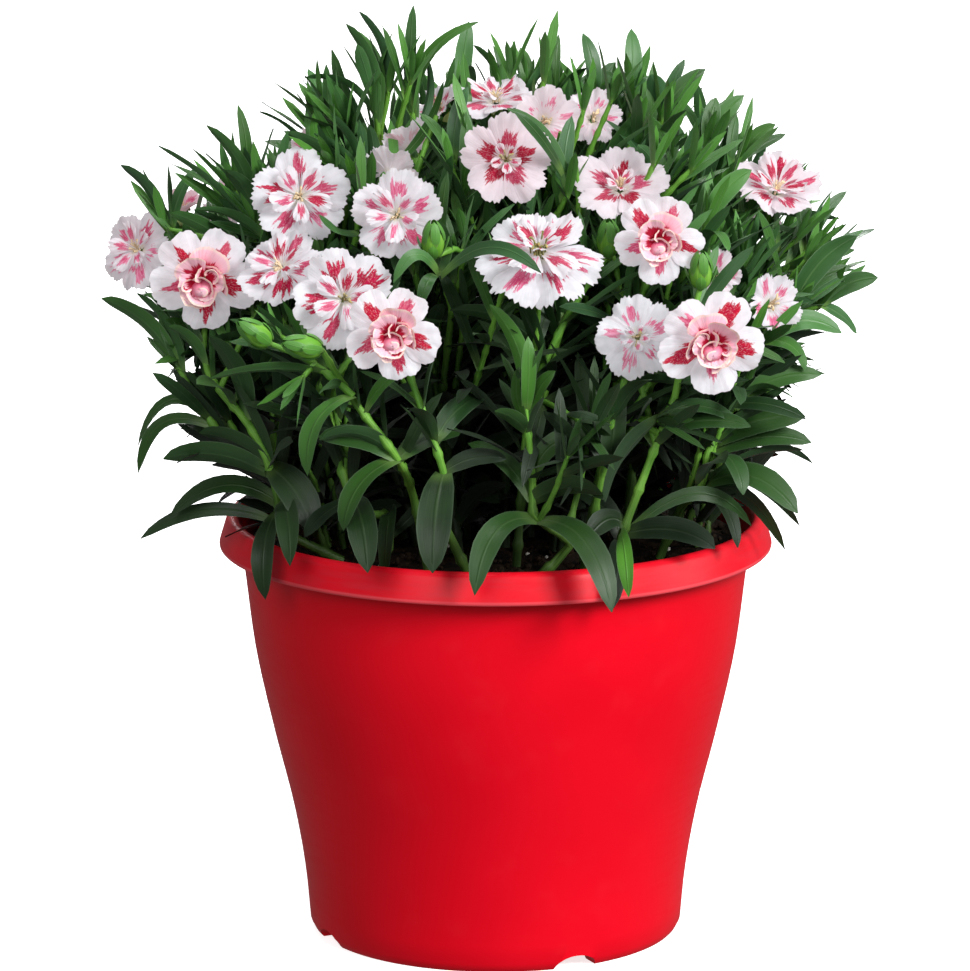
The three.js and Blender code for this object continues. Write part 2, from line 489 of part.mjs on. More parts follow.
// The corners of one whorl of petals: a thin fluted sheet, toothed at the rim and slit between the
// petals, that thins from its middle to a sharp rim.
function whorlRings(whorl, radius, turn) {
  const { petals, teeth, reach, tilt, rise, slit, wave } = whorl;
  const length = radius * reach;
  const lean = Array.from({ length: petals }, () => draw(-PETAL.lean, PETAL.lean));
  const corner = (petal, across, share, side) => {
    const angle = radians(turn) + 2 * Math.PI * (petal + across) / petals;
    const slope = radians(tilt + lean[petal] * Math.cos(Math.PI * across) ** 2);
    const off = side * PETAL.thickness / 2;
    const out = length * share * Math.cos(slope) - off * Math.sin(slope);
    const flute = wave * length * share * share * Math.cos(2 * Math.PI * across);
    const height = rise + length * share * Math.sin(slope) + flute + off * Math.cos(slope);
    return { angle, at: new THREE.Vector3(out * Math.cos(angle), out * Math.sin(angle), height) };
  };
  const middle = (side) => Array.from({ length: petals }, (_, petal) => [
    corner(petal, -0.5, slit * PETAL.slitRoot, side),
    corner(petal, 0, PETAL.middle, side),
  ]).flat();
  const rim = Array.from({ length: petals }, (_, petal) => {
    const edge = [corner(petal, -0.5, slit, 0)];
    for (let k = 0; k <= 2 * teeth; k += 1) {
      const across = PETAL.halfWidth * (k / teeth - 1);
      const tooth = k % 2 === 1 ? 1 : PETAL.toothDip;
      const share = tooth * (1 - PETAL.rounding * across * across) * draw(...PETAL.toothDraw);
      edge.push(corner(petal, across, share, 0));
    }
    return edge;
  }).flat();
  return [middle(-1), rim, middle(1)];
}

// A small round ring of a bloom's throat, with a corner under the middle of each petal.
function throatRing(radius, height, petals, turn) {
  return Array.from({ length: petals }, (_, k) => {
    const angle = radians(turn) + 2 * Math.PI * k / petals;
    return { angle, at: new THREE.Vector3(radius * Math.cos(angle), radius * Math.sin(angle), height) };
  });
}

// Rings of corners as one closed skin, flat at its start and closed on a point at its end. Two
// neighbours are joined by taking the next corner round from whichever ring lags.
function skinSolid(rings, end) {
  const fullTurn = 2 * Math.PI;
  const points = [];
  const started = rings.map((ring) => {
    const corners = ring.map((corner) => (
      { ...corner, angle: THREE.MathUtils.euclideanModulo(corner.angle, fullTurn) }
    ));
    const least = corners.reduce((low, corner, i) => (corner.angle < corners[low].angle ? i : low), 0);
    const ordered = [...corners.slice(least), ...corners.slice(0, least)];
    const first = points.length;
    points.push(...ordered.map((corner) => corner.at));
    const size = ordered.length;
    return {
      size,
      index: (i) => first + i % size,
      angle: (i) => ordered[i % size].angle + (i < size ? 0 : fullTurn),
    };
  });
  const faces = [];
  for (let k = 1; k + 1 < started[0].size; k += 1) {
    faces.push([0, k + 1, k]);
  }
  for (let row = 0; row + 1 < started.length; row += 1) {
    const [near, far] = [started[row], started[row + 1]];
    let a = 0;
    let b = 0;
    while (a < near.size || b < far.size) {
      const takeNear = b >= far.size || (a < near.size && near.angle(a + 1) <= far.angle(b + 1));
      const third = takeNear ? near.index(a + 1) : far.index(b + 1);
      faces.push([near.index(a), third, far.index(b)]);
      if (takeNear) a += 1;
      else b += 1;
    }
  }
  const last = started[started.length - 1];
  points.push(end);
  for (let k = 0; k < last.size; k += 1) {
    faces.push([last.index(k), last.index(k + 1), points.length - 1]);
  }
  return closedSolid(points, faces);
}

// A bloom as one skin: up its throat, then out and back over each whorl in turn.
function bloomSolid(bloom) {
  const whorls = BLOOM_FORMS[bloom.form];
  const foot = PETAL.throat * PETAL.throatTaper;
  const rings = [throatRing(foot, -PETAL.throatDepth, whorls[0].petals, bloom.turn)];
  whorls.forEach((whorl, i) => {
    const turn = bloom.turn + i * 180 / whorls[0].petals;
    rings.push(throatRing(PETAL.throat, whorl.rise - PETAL.hub, whorl.petals, turn));
    rings.push(...whorlRings(whorl, bloom.radius, turn));
  });
  const centre = new THREE.Vector3(0, 0, whorls[whorls.length - 1].rise);
  return skinSolid(rings, centre).transform(bloomPlace(bloom).elements);
}

// ---------------------------------------------------------------- leaves and stems

// A lance-shaped leaf with a keel, flat on the upper side, from a point sunk in its stalk to its
// tip. `grow` fattens it for the test that keeps it clear of its neighbours.
function leafRings(base, leaf, grow) {
  const [heading, climb, length, width, twist = 0, arch = LEAF.arch] = leaf;
  const along = direction(heading, climb);
  const inward = direction(heading, climb + 90);
  const root = base.clone().addScaledVector(direction(heading, 0), LEAF.rootOffset);
  const tip = root.clone().addScaledVector(along, length + grow);
  const bend = root.clone().lerp(tip, 0.5).addScaledVector(inward, 2 * arch * length);
  const curve = new THREE.QuadraticBezierCurve3(root, bend, tip);
  const stations = length >= LEAF.long ? LEAF_STATIONS : SHORT_LEAF_STATIONS;
  const rings = stations.map(([share, wide, keel]) => {
    const centre = curve.getPoint(share);
    const tangent = curve.getTangent(share);
    const upper = inward.clone().applyAxisAngle(along, radians(twist));
    upper.addScaledVector(tangent, -upper.dot(tangent)).normalize();
    const side = new THREE.Vector3().crossVectors(tangent, upper);
    const half = width * wide / 2 + grow;
    const lift = LEAF.edgeLift * half + grow;
    return [
      centre.clone().addScaledVector(side, half).addScaledVector(upper, lift),
      centre.clone().addScaledVector(side, -half).addScaledVector(upper, lift),
      centre.clone().addScaledVector(upper, -keel - grow),
    ];
  });
  return { root, rings, tip };
}

function leafSolid({ root, rings, tip }) {
  return loftSolid(rings, tip, root);
}

// ---------------------------------------------------------------- keeping clear of neighbours

const placed = [];

function boxOf(solid) {
  const { min, max } = solid.boundingBox();
  return new THREE.Box3(point(min), point(max));
}

function remember(node, solid) {
  placed.push({ node, solid, box: boxOf(solid) });
}

// Whether a solid touches nothing that stands in one of the nodes that `counts` picks.
function isClear(solid, counts) {
  const box = boxOf(solid);
  return placed.every((other) => (
    !counts(other.node) || !other.box.intersectsBox(box) || other.solid.intersect(solid).isEmpty()
  ));
}

// ---------------------------------------------------------------- stalks

// Points of a branch from its start, past its joints, to the calyx, bud or tip that ends it.
function branchPoints(start, branch, sway) {
  const joints = (branch.joints ?? []).map((name) => point(SHOOTS[name].at));
  const points = [start, ...joints];
  if (branch.bloom) {
    const bloom = BLOOMS[branch.bloom];
    const facing = direction(...bloom.faces);
    const base = point(bloom.at).addScaledVector(facing, -PETAL.throatDepth - CALYX.gap - CALYX.length);
    points.push(base.clone().addScaledVector(facing, -CALYX.straight).addScaledVector(UP, -CALYX.drop));
    points.push(base);
  }
  if (branch.bud) points.push(point(branch.bud));
  const middle = points[0].clone().lerp(points[1], 0.5);
  middle.z += points[0].distanceTo(points[1]) * STEM.bow;
  middle.add(point([...sway, 0]));
  points.splice(1, 0, middle);
  return points;
}

// A stalk that carries a bloom or a bud has one side more than a leafy one.
function stalkSides(branch) {
  return branch.bloom || branch.bud ? STEM.sides : STEM.leafySides;
}

// The stalk of a branch and what ends it, as one row of rings: the line that it follows, and a
// solid made of it, `grow` fatter, from one of its rings on.
function stalk(start, branch, order, sway) {
  const curve = new THREE.CatmullRomCurve3(branchPoints(start, branch, sway), false, 'catmullrom', 0.5);
  const steps = Math.max(2, Math.round(curve.getLength() / STEM.step));
  const line = curve.getSpacedPoints(steps);
  const thickest = order === 0 ? STEM.rootRadius : STEM.forkRadius;
  const radii = line.map((_, i) => THREE.MathUtils.lerp(thickest, STEM.topRadius, i / steps));
  const end = line[steps];
  let along = end.clone().sub(line[steps - 1]).normalize();
  let profile = TIP_PROFILE;
  if (branch.bud) profile = BUD_PROFILE;
  if (branch.bloom) {
    along = direction(...BLOOMS[branch.bloom].faces);
    profile = CALYX_PROFILE;
  }
  const points = [...line];
  for (const [distance, radius] of profile) {
    points.push(end.clone().addScaledVector(along, distance));
    radii.push(radius);
  }
  if (order === 0) {
    points.unshift(start.clone().addScaledVector(UP, -STEM.rootDepth - STEM.collar));
    radii.unshift(thickest);
  }
  const sides = stalkSides(branch);
  const solid = (grow) => {
    const first = grow > 0 && order === 0 ? 1 : 0;
    return tubeSolid(points.slice(first), radii.slice(first).map((radius) => radius + grow), sides);
  };
  return { line, solid };
}

function alongLine(line, share) {
  const at = share * (line.length - 1);
  const before = Math.min(Math.floor(at), line.length - 2);
  return line[before].clone().lerp(line[before + 1], at - before);
}

// ---------------------------------------------------------------- leaves on the stalks

function bentLeaf([heading, climb, length, width, twist, arch], [turn, lift, scale]) {
  return [heading + turn, climb + lift, length * scale, width, twist, arch];
}

// Opposite pairs of leaves, each pair a quarter turn from the last: `bases` are their joints from
// the lowest up, and lower pairs spread more.
function leafPairs(bases, spread) {
  const first = draw(0, 180);
  return bases.flatMap((base, pair) => [0, 180].map((side) => {
    const heading = first + 90 * pair + side + draw(-LEAF.turnJitter, LEAF.turnJitter);
    const climb = draw(...spread) + PAIR.rise * pair;
    const leaf = [heading, climb, draw(...PAIR.length), draw(...PAIR.width), draw(...PAIR.twist)];
    return { base, leaf };
  }));
}

// The point of a stalk's line that is nearest to a place.
function nearestOnLine(line, place) {
  let nearest = line[0];
  for (let i = 0; i + 1 < line.length; i += 1) {
    const here = new THREE.Line3(line[i], line[i + 1]).closestPointToPoint(place, true, new THREE.Vector3());
    if (here.distanceTo(place) < nearest.distanceTo(place)) nearest = here;
  }
  return nearest;
}

function branchLeaves(branch, line, bushy) {
  const leaves = [];
  for (const joint of branch.joints ?? []) {
    const { at, more = 0, leaves: named } = SHOOTS[joint];
    const below = (steps) => nearestOnLine(line, point([at[0], at[1], at[2] - LEAF.apart * steps]));
    named.forEach((leaf, i) => leaves.push({ base: below(i), leaf }));
    leaves.push(...leafPairs(Array.from({ length: more }, (_, i) => below(2 * (more - i))), PAIR.high));
  }
  if (bushy) leaves.push(...leafPairs([alongLine(line, LEAF.pairShare)], PAIR.low));
  return leaves;
}

// ---------------------------------------------------------------- the plant

const solids = { pot: potSolid() };
for (const [name, bloom] of Object.entries(BLOOMS)) {
  solids[name] = bloomSolid(bloom);
}
let soil = soilSolid();
remember('growing_mix', soil);
Object.entries(solids).forEach(([name, solid]) => remember(name, solid));

// Stalks: each takes the first bow that keeps it clear of the blooms and of earlier stalks.
const grown = {};
for (const [name, stem] of Object.entries(STEMS)) {
  const parts = [];
  const lines = [];
  stem.branches.forEach((branch, order) => {
    const root = point([...stem.root, SOIL_LEVEL + STEM.collar]);
    const start = order === 0 ? root : alongLine(lines[0], branch.fork);
    const tries = SWAYS.map((sway) => stalk(start, branch, order, sway));
    const fit = tries.find((one) => isClear(one.solid(STEM.clear), (node) => node !== name));
    const chosen = fit ?? tries[0];
    lines.push(chosen.line);
    parts.push(chosen.solid(0));
  });
  parts.forEach((solid) => remember(name, solid));
  grown[name] = { parts, lines };
  const radius = STEM.rootRadius + STEM.holeGap;
  const hole = [-STEM.rootDepth - STEM.holeGap, SOIL_ROUGHNESS + STEM.collar]
    .map((height) => point([...stem.root, SOIL_LEVEL + height]));
  soil = soil.subtract(tubeSolid(hole, [radius, radius], stalkSides(stem.branches[0])));
}
solids.growing_mix = soil;

// Leaves: each takes the first bend that keeps it clear of the other nodes, and its outer part
// clear of its own stem, and is left out where none does.
for (const [name, stem] of Object.entries(STEMS)) {
  const { parts, lines } = grown[name];
  stem.branches.forEach((branch, order) => {
    const bushy = order === 0 && Math.hypot(...stem.root) > LEAF.bareMiddle;
    for (const { base, leaf } of branchLeaves(branch, lines[order], bushy)) {
      const fit = BENDS.map((bend) => bentLeaf(leaf, bend)).find((one) => {
        const outer = leafRings(base, one, 0);
        return isClear(loftSolid(outer.rings, outer.tip), (node) => node === name)
          && isClear(leafSolid(leafRings(base, one, LEAF.clear)), (node) => node !== name);
      });
      if (fit) {
        parts.push(leafSolid(leafRings(base, fit, 0)));
        remember(name, parts[parts.length - 1]);
      }
    }
  });
  solids[name] = wholeBody(parts.reduce((whole, solid) => whole.add(solid)));
}

// ---------------------------------------------------------------- scene graph

const MATERIALS = {
  pot: { color: 0xd80018, roughness: 0.35, metalness: 0 },
  growing_mix: { color: 0x1d1712, roughness: 1, metalness: 0 },
  stem: { color: 0x2f6a33, roughness: 0.6, metalness: 0 },
  rosette: { color: 0xf6c9cf, roughness: 0.7, metalness: 0 },
  bloom: { color: 0xfbeef1, roughness: 0.7, metalness: 0 },
};

function meshOf(name, solid) {
  const { vertProperties, triVerts, numProp } = solid.getMesh();
  const geometry = new THREE.BufferGeometry();
  const positions = new THREE.InterleavedBuffer(vertProperties, numProp);
  geometry.setAttribute('position', new THREE.InterleavedBufferAttribute(positions, 3, 0));
  geometry.setIndex(new THREE.BufferAttribute(triVerts, 1));
  const kind = Object.keys(MATERIALS).find((key) => name.startsWith(key));
  const mesh = new THREE.Mesh(geometry, new THREE.MeshStandardMaterial(MATERIALS[kind]));
  mesh.name = name;
  return mesh;
}

const dianthus = new THREE.Group();
for (const [name, solid] of Object.entries(solids)) {
  dianthus.add(meshOf(name, solid));
}

export default dianthus;
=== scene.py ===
# %% [markdown]
# A potted dianthus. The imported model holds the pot, the growing mix, every leafy stem and every bloom
# at true size and place. The cells below take them one by one and give each the shape and finish that
# a gardener sees up close: a smooth moulded pot, crumbly mix, keeled waxy leaves, and petals with
# toothed rims and feathered crimson marks. Sizes are worked out in millimetres and made metres last.

# %% Load the frame
import math
import random

import bmesh
import bpy
import numpy as np
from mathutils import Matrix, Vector
from mathutils.bvhtree import BVHTree


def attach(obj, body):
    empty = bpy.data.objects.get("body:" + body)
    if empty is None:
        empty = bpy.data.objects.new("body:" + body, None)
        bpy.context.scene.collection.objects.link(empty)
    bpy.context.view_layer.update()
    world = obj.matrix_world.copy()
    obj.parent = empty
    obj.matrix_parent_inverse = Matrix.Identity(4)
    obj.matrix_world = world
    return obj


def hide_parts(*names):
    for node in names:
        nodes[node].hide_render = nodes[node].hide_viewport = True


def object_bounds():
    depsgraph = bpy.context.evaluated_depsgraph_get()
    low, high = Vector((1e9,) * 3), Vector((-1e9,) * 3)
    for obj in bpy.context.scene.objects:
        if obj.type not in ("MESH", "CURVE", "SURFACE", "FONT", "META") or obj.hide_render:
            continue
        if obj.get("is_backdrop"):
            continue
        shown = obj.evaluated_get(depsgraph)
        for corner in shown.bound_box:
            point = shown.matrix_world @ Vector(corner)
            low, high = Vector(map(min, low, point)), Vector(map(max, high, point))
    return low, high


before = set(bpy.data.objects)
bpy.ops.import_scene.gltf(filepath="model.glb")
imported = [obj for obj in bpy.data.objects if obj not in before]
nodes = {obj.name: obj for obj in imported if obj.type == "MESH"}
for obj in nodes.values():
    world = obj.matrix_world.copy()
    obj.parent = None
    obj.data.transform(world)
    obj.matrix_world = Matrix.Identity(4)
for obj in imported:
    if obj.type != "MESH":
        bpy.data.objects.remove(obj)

MM = 0.001
cad_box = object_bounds()
BOX_LOW, BOX_HIGH = (np.array(corner) / MM for corner in cad_box)
bpy.ops.object.select_all(action="DESELECT")
print(len(nodes), "nodes in a box of", (BOX_HIGH - BOX_LOW).round(), "mm")

# %% [markdown]
# The camera comes first, because it tells which leaves would hide a bloom. A long lens a good way off
# keeps the sides of the pot nearly parallel. It looks down a little, so the mix shows behind the lip.

# %% Camera
CAMERA_PLACE = (-4.2, -2500, 733.7)
CAMERA_TILT = 77.5
CAMERA_LENS = 239.1
bpy.ops.object.camera_add(
    location=[side * MM for side in CAMERA_PLACE], rotation=(math.radians(CAMERA_TILT), 0, 0)
)
camera = bpy.context.active_object
camera.data.lens = CAMERA_LENS
camera.data.clip_end = 50
bpy.context.scene.camera = camera
bpy.context.scene.view_settings.view_transform = "Standard"
print("the camera looks down by", 90 - CAMERA_TILT, "degrees")

# %% [markdown]
# Light as in a white studio: a white world fills in from all round, a large soft lamp stands at the
# front right, weaker ones stand at the left, above, behind and at the right side, and a pale floor
# runs far back.

# %% Floor and lamps
FLOOR_SIZE = 60
WORLD_STRENGTH = 0.19
LAMPS = [
    ("key", (1.75, -1.95, 1.7), 1.1, 98),
    ("fill", (-0.9, -2.4, 1.4), 1.4, 25),
    ("top", (0.1, 0.2, 2.3), 1.1, 24),
    ("back", (-0.4, 2.5, 1.8), 1.3, 42),
    ("side", (2.1, -0.2, 0.7), 0.9, 14),
]
LAMP_AIM = Vector((0, 0, 0.2))


def pale_floor():
    bpy.ops.mesh.primitive_plane_add(size=FLOOR_SIZE)
    floor = bpy.context.active_object
    floor.name = "floor"
    paint = bpy.data.materials.new("floor_paint")
    paint.use_nodes = True
    shader = paint.node_tree.nodes["Principled BSDF"]
    shader.inputs["Base Color"].default_value = (0.93, 0.93, 0.93, 1)
    shader.inputs["Roughness"].default_value = 1
    shader.inputs["Specular IOR Level"].default_value = 0
    shader.inputs["Emission Color"].default_value = (1, 1, 1, 1)
    shader.inputs["Emission Strength"].default_value = 0.75
    floor.data.materials.append(paint)
    floor.visible_diffuse = False
    floor.visible_glossy = False
    floor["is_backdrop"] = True


def soft_lamp(name, place, size, power):
    bpy.ops.object.light_add(type="AREA", location=place)
    lamp = bpy.context.active_object
    lamp.name = name
    lamp.data.shape = "DISK"
    lamp.data.size = size
    lamp.data.energy = power
    lamp.rotation_euler = (LAMP_AIM - Vector(place)).to_track_quat("-Z", "Y").to_euler()


pale_floor()
for lamp in LAMPS:
    soft_lamp(*lamp)
world = bpy.data.worlds.new("white_room")
world.use_nodes = True
world.node_tree.nodes["Background"].inputs["Color"].default_value = (1, 1, 1, 1)
world.node_tree.nodes["Background"].inputs["Strength"].default_value = WORLD_STRENGTH
bpy.context.scene.world = world
print(len(LAMPS), "lamps over a floor of", FLOOR_SIZE, "m")

# %% [markdown]
# Shader sums read best as plain Python. Wire wraps a socket, so that 1 - mask adds its own Math node.
# Finish wraps a material, and its node method makes any node: first its settings, then its sockets.


# %% Shader sums
class Wire:
    """A socket that takes part in sums."""

    def __init__(self, finish, socket):
        self.finish = finish
        self.socket = socket

    def sum(self, operation, *values):
        return self.finish.node("ShaderNodeMath", {"operation": operation}, dict(enumerate(values)))

    def __add__(self, other):
        return self.sum("ADD", self, other)

    __radd__ = __add__

    def __sub__(self, other):
        return self.sum("SUBTRACT", self, other)

    def __rsub__(self, other):
        return self.sum("SUBTRACT", other, self)

    def __mul__(self, other):
        return self.sum("MULTIPLY", self, other)

    __rmul__ = __mul__

    def __abs__(self):
        return self.sum("ABSOLUTE", self)

    def least(self, other):
        return self.sum("MINIMUM", self, other)

    def step(self, low, high):
        """0 below low, 1 above high, and a soft rise between them."""
        return self.finish.node(
            "ShaderNodeMapRange", {"interpolation_type": "SMOOTHSTEP"},
            {"Value": self, "From Min": low, "From Max": high},
        )


class Finish:
    """A material on one Principled shader. Its constants go straight onto the shader's sockets."""

    def __init__(self, name, **constants):
        self.material = bpy.data.materials.new(name)
        self.material.use_nodes = True
        self.tree = self.material.node_tree
        self.shader = self.tree.nodes["Principled BSDF"]
        for socket, value in constants.items():
            self.shader.inputs[socket.replace("_", " ")].default_value = value

    def node(self, kind, settings, inputs, output=0):
        made = self.tree.nodes.new(kind)
        for key, value in settings.items():
            setattr(made, key, value)
        for socket, value in inputs.items():
            self.feed(made.inputs[socket], value)
        return Wire(self, made.outputs[output])

    def feed(self, socket, value):
        if isinstance(value, Wire):
            self.tree.links.new(value.socket, socket)
        else:
            socket.default_value = value

    def mix(self, factor, first, second):
        """A colour between two, each a socket or a colour's six figures."""
        first, second = (colour(side) if isinstance(side, str) else side for side in (first, second))
        return self.node("ShaderNodeMix", {"data_type": "RGBA"}, {0: factor, 6: first, 7: second}, 2)

    def coats(self, base, *layers):
        """The base under coats of colour. Each layer is a mask and the colour that it lets through."""
        for mask, coat in layers:
            base = self.mix(mask, base, coat)
        return base

    def cloud(self, vector, scale, detail=2.0):
        return self.node("ShaderNodeTexNoise", {}, {"Vector": vector, "Scale": scale, "Detail": detail})

    def strands(self, across, along, seed, detail=2.0):
        """Noise drawn out along a leaf or a petal. The seed makes it differ from copy to copy."""
        return self.cloud(self.together(across, along, seed), 1, detail)

    def stretch(self, vector, scale):
        return self.node("ShaderNodeVectorMath", {"operation": "MULTIPLY"}, {0: vector, 1: scale})

    def place(self):
        return self.node("ShaderNodeTexCoord", {}, {}, 3)

    def apart(self, vector):
        split = self.node("ShaderNodeSeparateXYZ", {}, {0: vector}).socket.node
        return [Wire(self, output) for output in split.outputs]

    def together(self, x, y, z):
        return self.node("ShaderNodeCombineXYZ", {}, {0: x, 1: y, 2: z})

    def sheet(self):
        """Across and along a leaf or a petal, each from 0 to 1."""
        across, along, _ = self.apart(self.node("ShaderNodeUVMap", {"uv_map": "sheet"}, {}))
        return across, along

    def tone(self):
        """Three numbers of the leaf or petal, and 1 on its upper side."""
        named = {"attribute_name": "tone", "attribute_type": "GEOMETRY"}
        numbers = self.node("ShaderNodeAttribute", named, {}, 1)
        upper = Wire(self, numbers.socket.node.outputs["Alpha"])
        return (*self.apart(numbers), upper)

    def bump(self, height, strength, distance, **below):
        """Fine relief. A Normal among the last inputs is the relief that it lies on."""
        inputs = {"Height": height, "Strength": strength, "Distance": distance, **below}
        return self.node("ShaderNodeBump", {}, inputs)

    def wear(self, **values):
        for socket, value in values.items():
            self.feed(self.shader.inputs[socket.replace("_", " ")], value)
        return self.material


def colour(code):
    """A linear colour from its usual six figures."""
    parts = [int(code[i:i + 2], 16) / 255 for i in (0, 2, 4)]
    return (*[((part + 0.055) / 1.055) ** 2.4 if part > 0.04 else part / 12.92 for part in parts], 1)


print("Wire and Finish are ready")

# %% [markdown]
# The pot is moulded in one glossy red plastic, so its finish lies in the gloss: fine scuffs roughen it
# here and there, a very shallow ripple bends the reflections, and a little dust dulls it. The top of
# the lip is painted duller, a painted shade broken up by the scuffs, and a paler line along the lip's
# lower edge is a painted highlight.


# %% Pot finish
LIP_EDGE = ((0.1562, 0.1567), (0.1577, 0.1583))
LIP_HIGHLIGHT_REACH = (0.1088, 0.1093)
LIP_INNER = (0.1025, 0.1045)
SCUFF_SCALE = (60, 60, 420)
RIPPLE_SCALE = (9, 9, 5)


def lip_shade_and_highlight(finish, place):
    """1 on the lip, for a painted shade, and 1 along its lower edge, for a painted highlight."""
    x, y, z = finish.apart(place)
    low, high = LIP_EDGE
    level = {0: finish.together(x, y, 0)}
    reach = finish.node("ShaderNodeVectorMath", {"operation": "LENGTH"}, level, 1)
    lip = z.step(*low) * reach.step(*LIP_INNER)
    return lip, lip * (1 - z.step(*high)) * reach.step(*LIP_HIGHLIGHT_REACH)


def red_plastic():
    finish = Finish("red_plastic", Coat_Roughness=0.3, Specular_IOR_Level=0.12)
    place = finish.place()
    patches = finish.cloud(place, 14).step(0.3, 0.7)
    scuffs = finish.cloud(finish.stretch(place, SCUFF_SCALE), 1, 4)
    dust = finish.cloud(place, 70, 5).step(0.52, 0.78)
    lip, edge = lip_shade_and_highlight(finish, place)
    red = finish.coats(
        finish.mix(patches, "DE001A", "E8041E"),
        (dust * 0.02, "E56A6A"),
        # The lip is painted duller, a painted shade broken up by the scuffs; the paler line along its
        # lower edge is a painted highlight.
        (lip * (0.08 + scuffs.step(0.35, 0.7) * 0.14), "AC4450"),
        (edge * 0.22, "F08A92"),
    )
    ripple = finish.bump(finish.cloud(finish.stretch(place, RIPPLE_SCALE), 1, 1), 0.25, 0.004)
    return finish.wear(
        Base_Color=red, Roughness=0.42 + scuffs.step(0.45, 0.7) * 0.05 + dust * 0.04,
        Coat_Weight=0.1 - dust * 0.02,
        Normal=finish.bump(finish.cloud(place, 900), 0.04, 0.0003, Normal=ripple),
    )


def dressed(piece, slot, replaced, *finishes):
    """A finished piece: it rides with the plant and stands for its node. The slot is not used."""
    for material in finishes:
        piece.data.materials.append(material)
    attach(piece, "root")
    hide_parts(replaced)
    return len(piece.data.polygons)


RED_PLASTIC = red_plastic()
print("red_plastic has", len(RED_PLASTIC.node_tree.nodes), "nodes")

# %% [markdown]
# The pot is grown as a potter would pull it. A circle is added at the underside, and its edge is
# extruded from ring to ring and scaled to each radius: down to the foot, up the wall, round the
# turned-down lip and down the inside. A spin of the outline would do as well, but rings are easy to
# place one by one. Last, four low water arches are cut through the foot with a boolean.

# %% Pot
POT_SIDES = 144
POT_FOOT = [(63.5, 5), (63.7, 1), (64.6, 0.1), (72.2, 0), (73, 0.8)]
POT_WALL = [(74.4, 3.5), (76.1, 22), (80.6, 49), (88.4, 81), (95.7, 115), (99.8, 147)]
POT_LIP = [
    (101.3, 152), (103.2, 157.4), (103.8, 158.8), (104.4, 159.2), (105.2, 159), (107.9, 157),
    (108.7, 156.5), (109.3, 156.4), (109.7, 156.8), (109.8, 157.4), (109.6, 158.3), (109.1, 160),
    (107.7, 164.6), (107.1, 166.6), (106.7, 167.4), (105.9, 168.1), (105, 168.5), (104, 168.6),
    (103, 168.3), (102.3, 167.6), (101.6, 166), (98.4, 150), (71.5, 9),
]
WALL_RINGS = 20
POT_CREASE = 38
NOTCHES = 4
NOTCH_HEADING = 25.5
NOTCH_REACH = (58, 80)
NOTCH_HALF_WIDTH = 9
NOTCH_HEIGHT = 5.2
NOTCH_SIDES = 36


def smooth_wall():
    """More rings between the wall's own, on a smooth curve through them."""
    radii, heights = np.array(POT_WALL).T
    slopes = np.gradient(radii, heights)
    rings = []
    for height in np.linspace(heights[0], heights[-1], WALL_RINGS):
        i = min(int(np.searchsorted(heights, height, side="right")) - 1, len(heights) - 2)
        gap = heights[i + 1] - heights[i]
        t = (height - heights[i]) / gap
        rise = 3 * t ** 2 - 2 * t ** 3
        bend = (t ** 3 - 2 * t ** 2 + t) * slopes[i] + (t ** 3 - t ** 2) * slopes[i + 1]
        rings.append((float((1 - rise) * radii[i] + rise * radii[i + 1] + gap * bend), float(height)))
    return rings


def pull(ring, next_ring, scale=1):
    """Extrude the chosen edge from one ring, a radius and a height, to the next."""
    (radius, height), (next_radius, next_height) = ring, next_ring
    lift = (0, 0, (next_height - height) * scale)
    bpy.ops.mesh.extrude_edges_move(TRANSFORM_OT_translate={"value": lift})
    share = next_radius / radius
    bpy.ops.transform.resize(value=(share, share, 1), center_override=(0, 0, next_height * scale))


def align_faces():
    """Turn all faces of a shape the same way round, and leave edit mode."""
    bpy.ops.mesh.select_all(action="SELECT")
    bpy.ops.mesh.normals_make_consistent(inside=False)
    bpy.ops.object.mode_set(mode="OBJECT")


def close_ends():
    """Fill the chosen ring, then the one that is still open."""
    bpy.ops.mesh.edge_face_add()
    bpy.ops.mesh.select_all(action="DESELECT")
    bpy.ops.mesh.select_non_manifold(extend=False)
    bpy.ops.mesh.edge_face_add()
    align_faces()


def pulled_pot():
    rings = POT_FOOT + smooth_wall() + POT_LIP
    radius, height = rings[0]
    bpy.ops.mesh.primitive_circle_add(
        vertices=POT_SIDES, radius=radius * MM, location=(0, 0, height * MM)
    )
    bpy.ops.object.transform_apply()
    shape = bpy.context.active_object
    shape.name = "moulded_pot"
    bpy.ops.object.mode_set(mode="EDIT")
    bpy.ops.mesh.select_all(action="SELECT")
    for ring, next_ring in zip(rings, rings[1:]):
        pull(ring, next_ring, MM)
    close_ends()
    return shape


def notch_cutter(heading):
    """A rod that lies across the foot, wider than it is high, and cuts a low arch."""
    inner, outer = NOTCH_REACH
    bpy.ops.mesh.primitive_cylinder_add(
        vertices=NOTCH_SIDES, radius=1, depth=(outer - inner) * MM,
        location=(0, -(inner + outer) / 2 * MM, 0), rotation=(math.radians(90), 0, 0),
    )
    cutter = bpy.context.active_object
    bpy.ops.object.transform_apply()
    cutter.scale = (NOTCH_HALF_WIDTH * MM, 1, NOTCH_HEIGHT * MM)
    cutter.rotation_euler.z = math.radians(heading)
    bpy.ops.object.transform_apply()
    return cutter


def cut(shape, cutter):
    trim = shape.modifiers.new("notch", "BOOLEAN")
    trim.operation = "DIFFERENCE"
    trim.solver = "EXACT"
    trim.object = cutter
    bpy.context.view_layer.objects.active = shape
    bpy.ops.object.modifier_apply(modifier="notch")
    bpy.data.objects.remove(cutter)


pot = pulled_pot()
for k in range(NOTCHES):
    cut(pot, notch_cutter(NOTCH_HEADING + 360 * k / NOTCHES))
bpy.ops.object.select_all(action="DESELECT")
pot.select_set(True)
bpy.context.view_layer.objects.active = pot
bpy.ops.object.shade_smooth_by_angle(angle=math.radians(POT_CREASE))
print("pot:", dressed(pot, "pot", "pot", RED_PLASTIC), "faces")

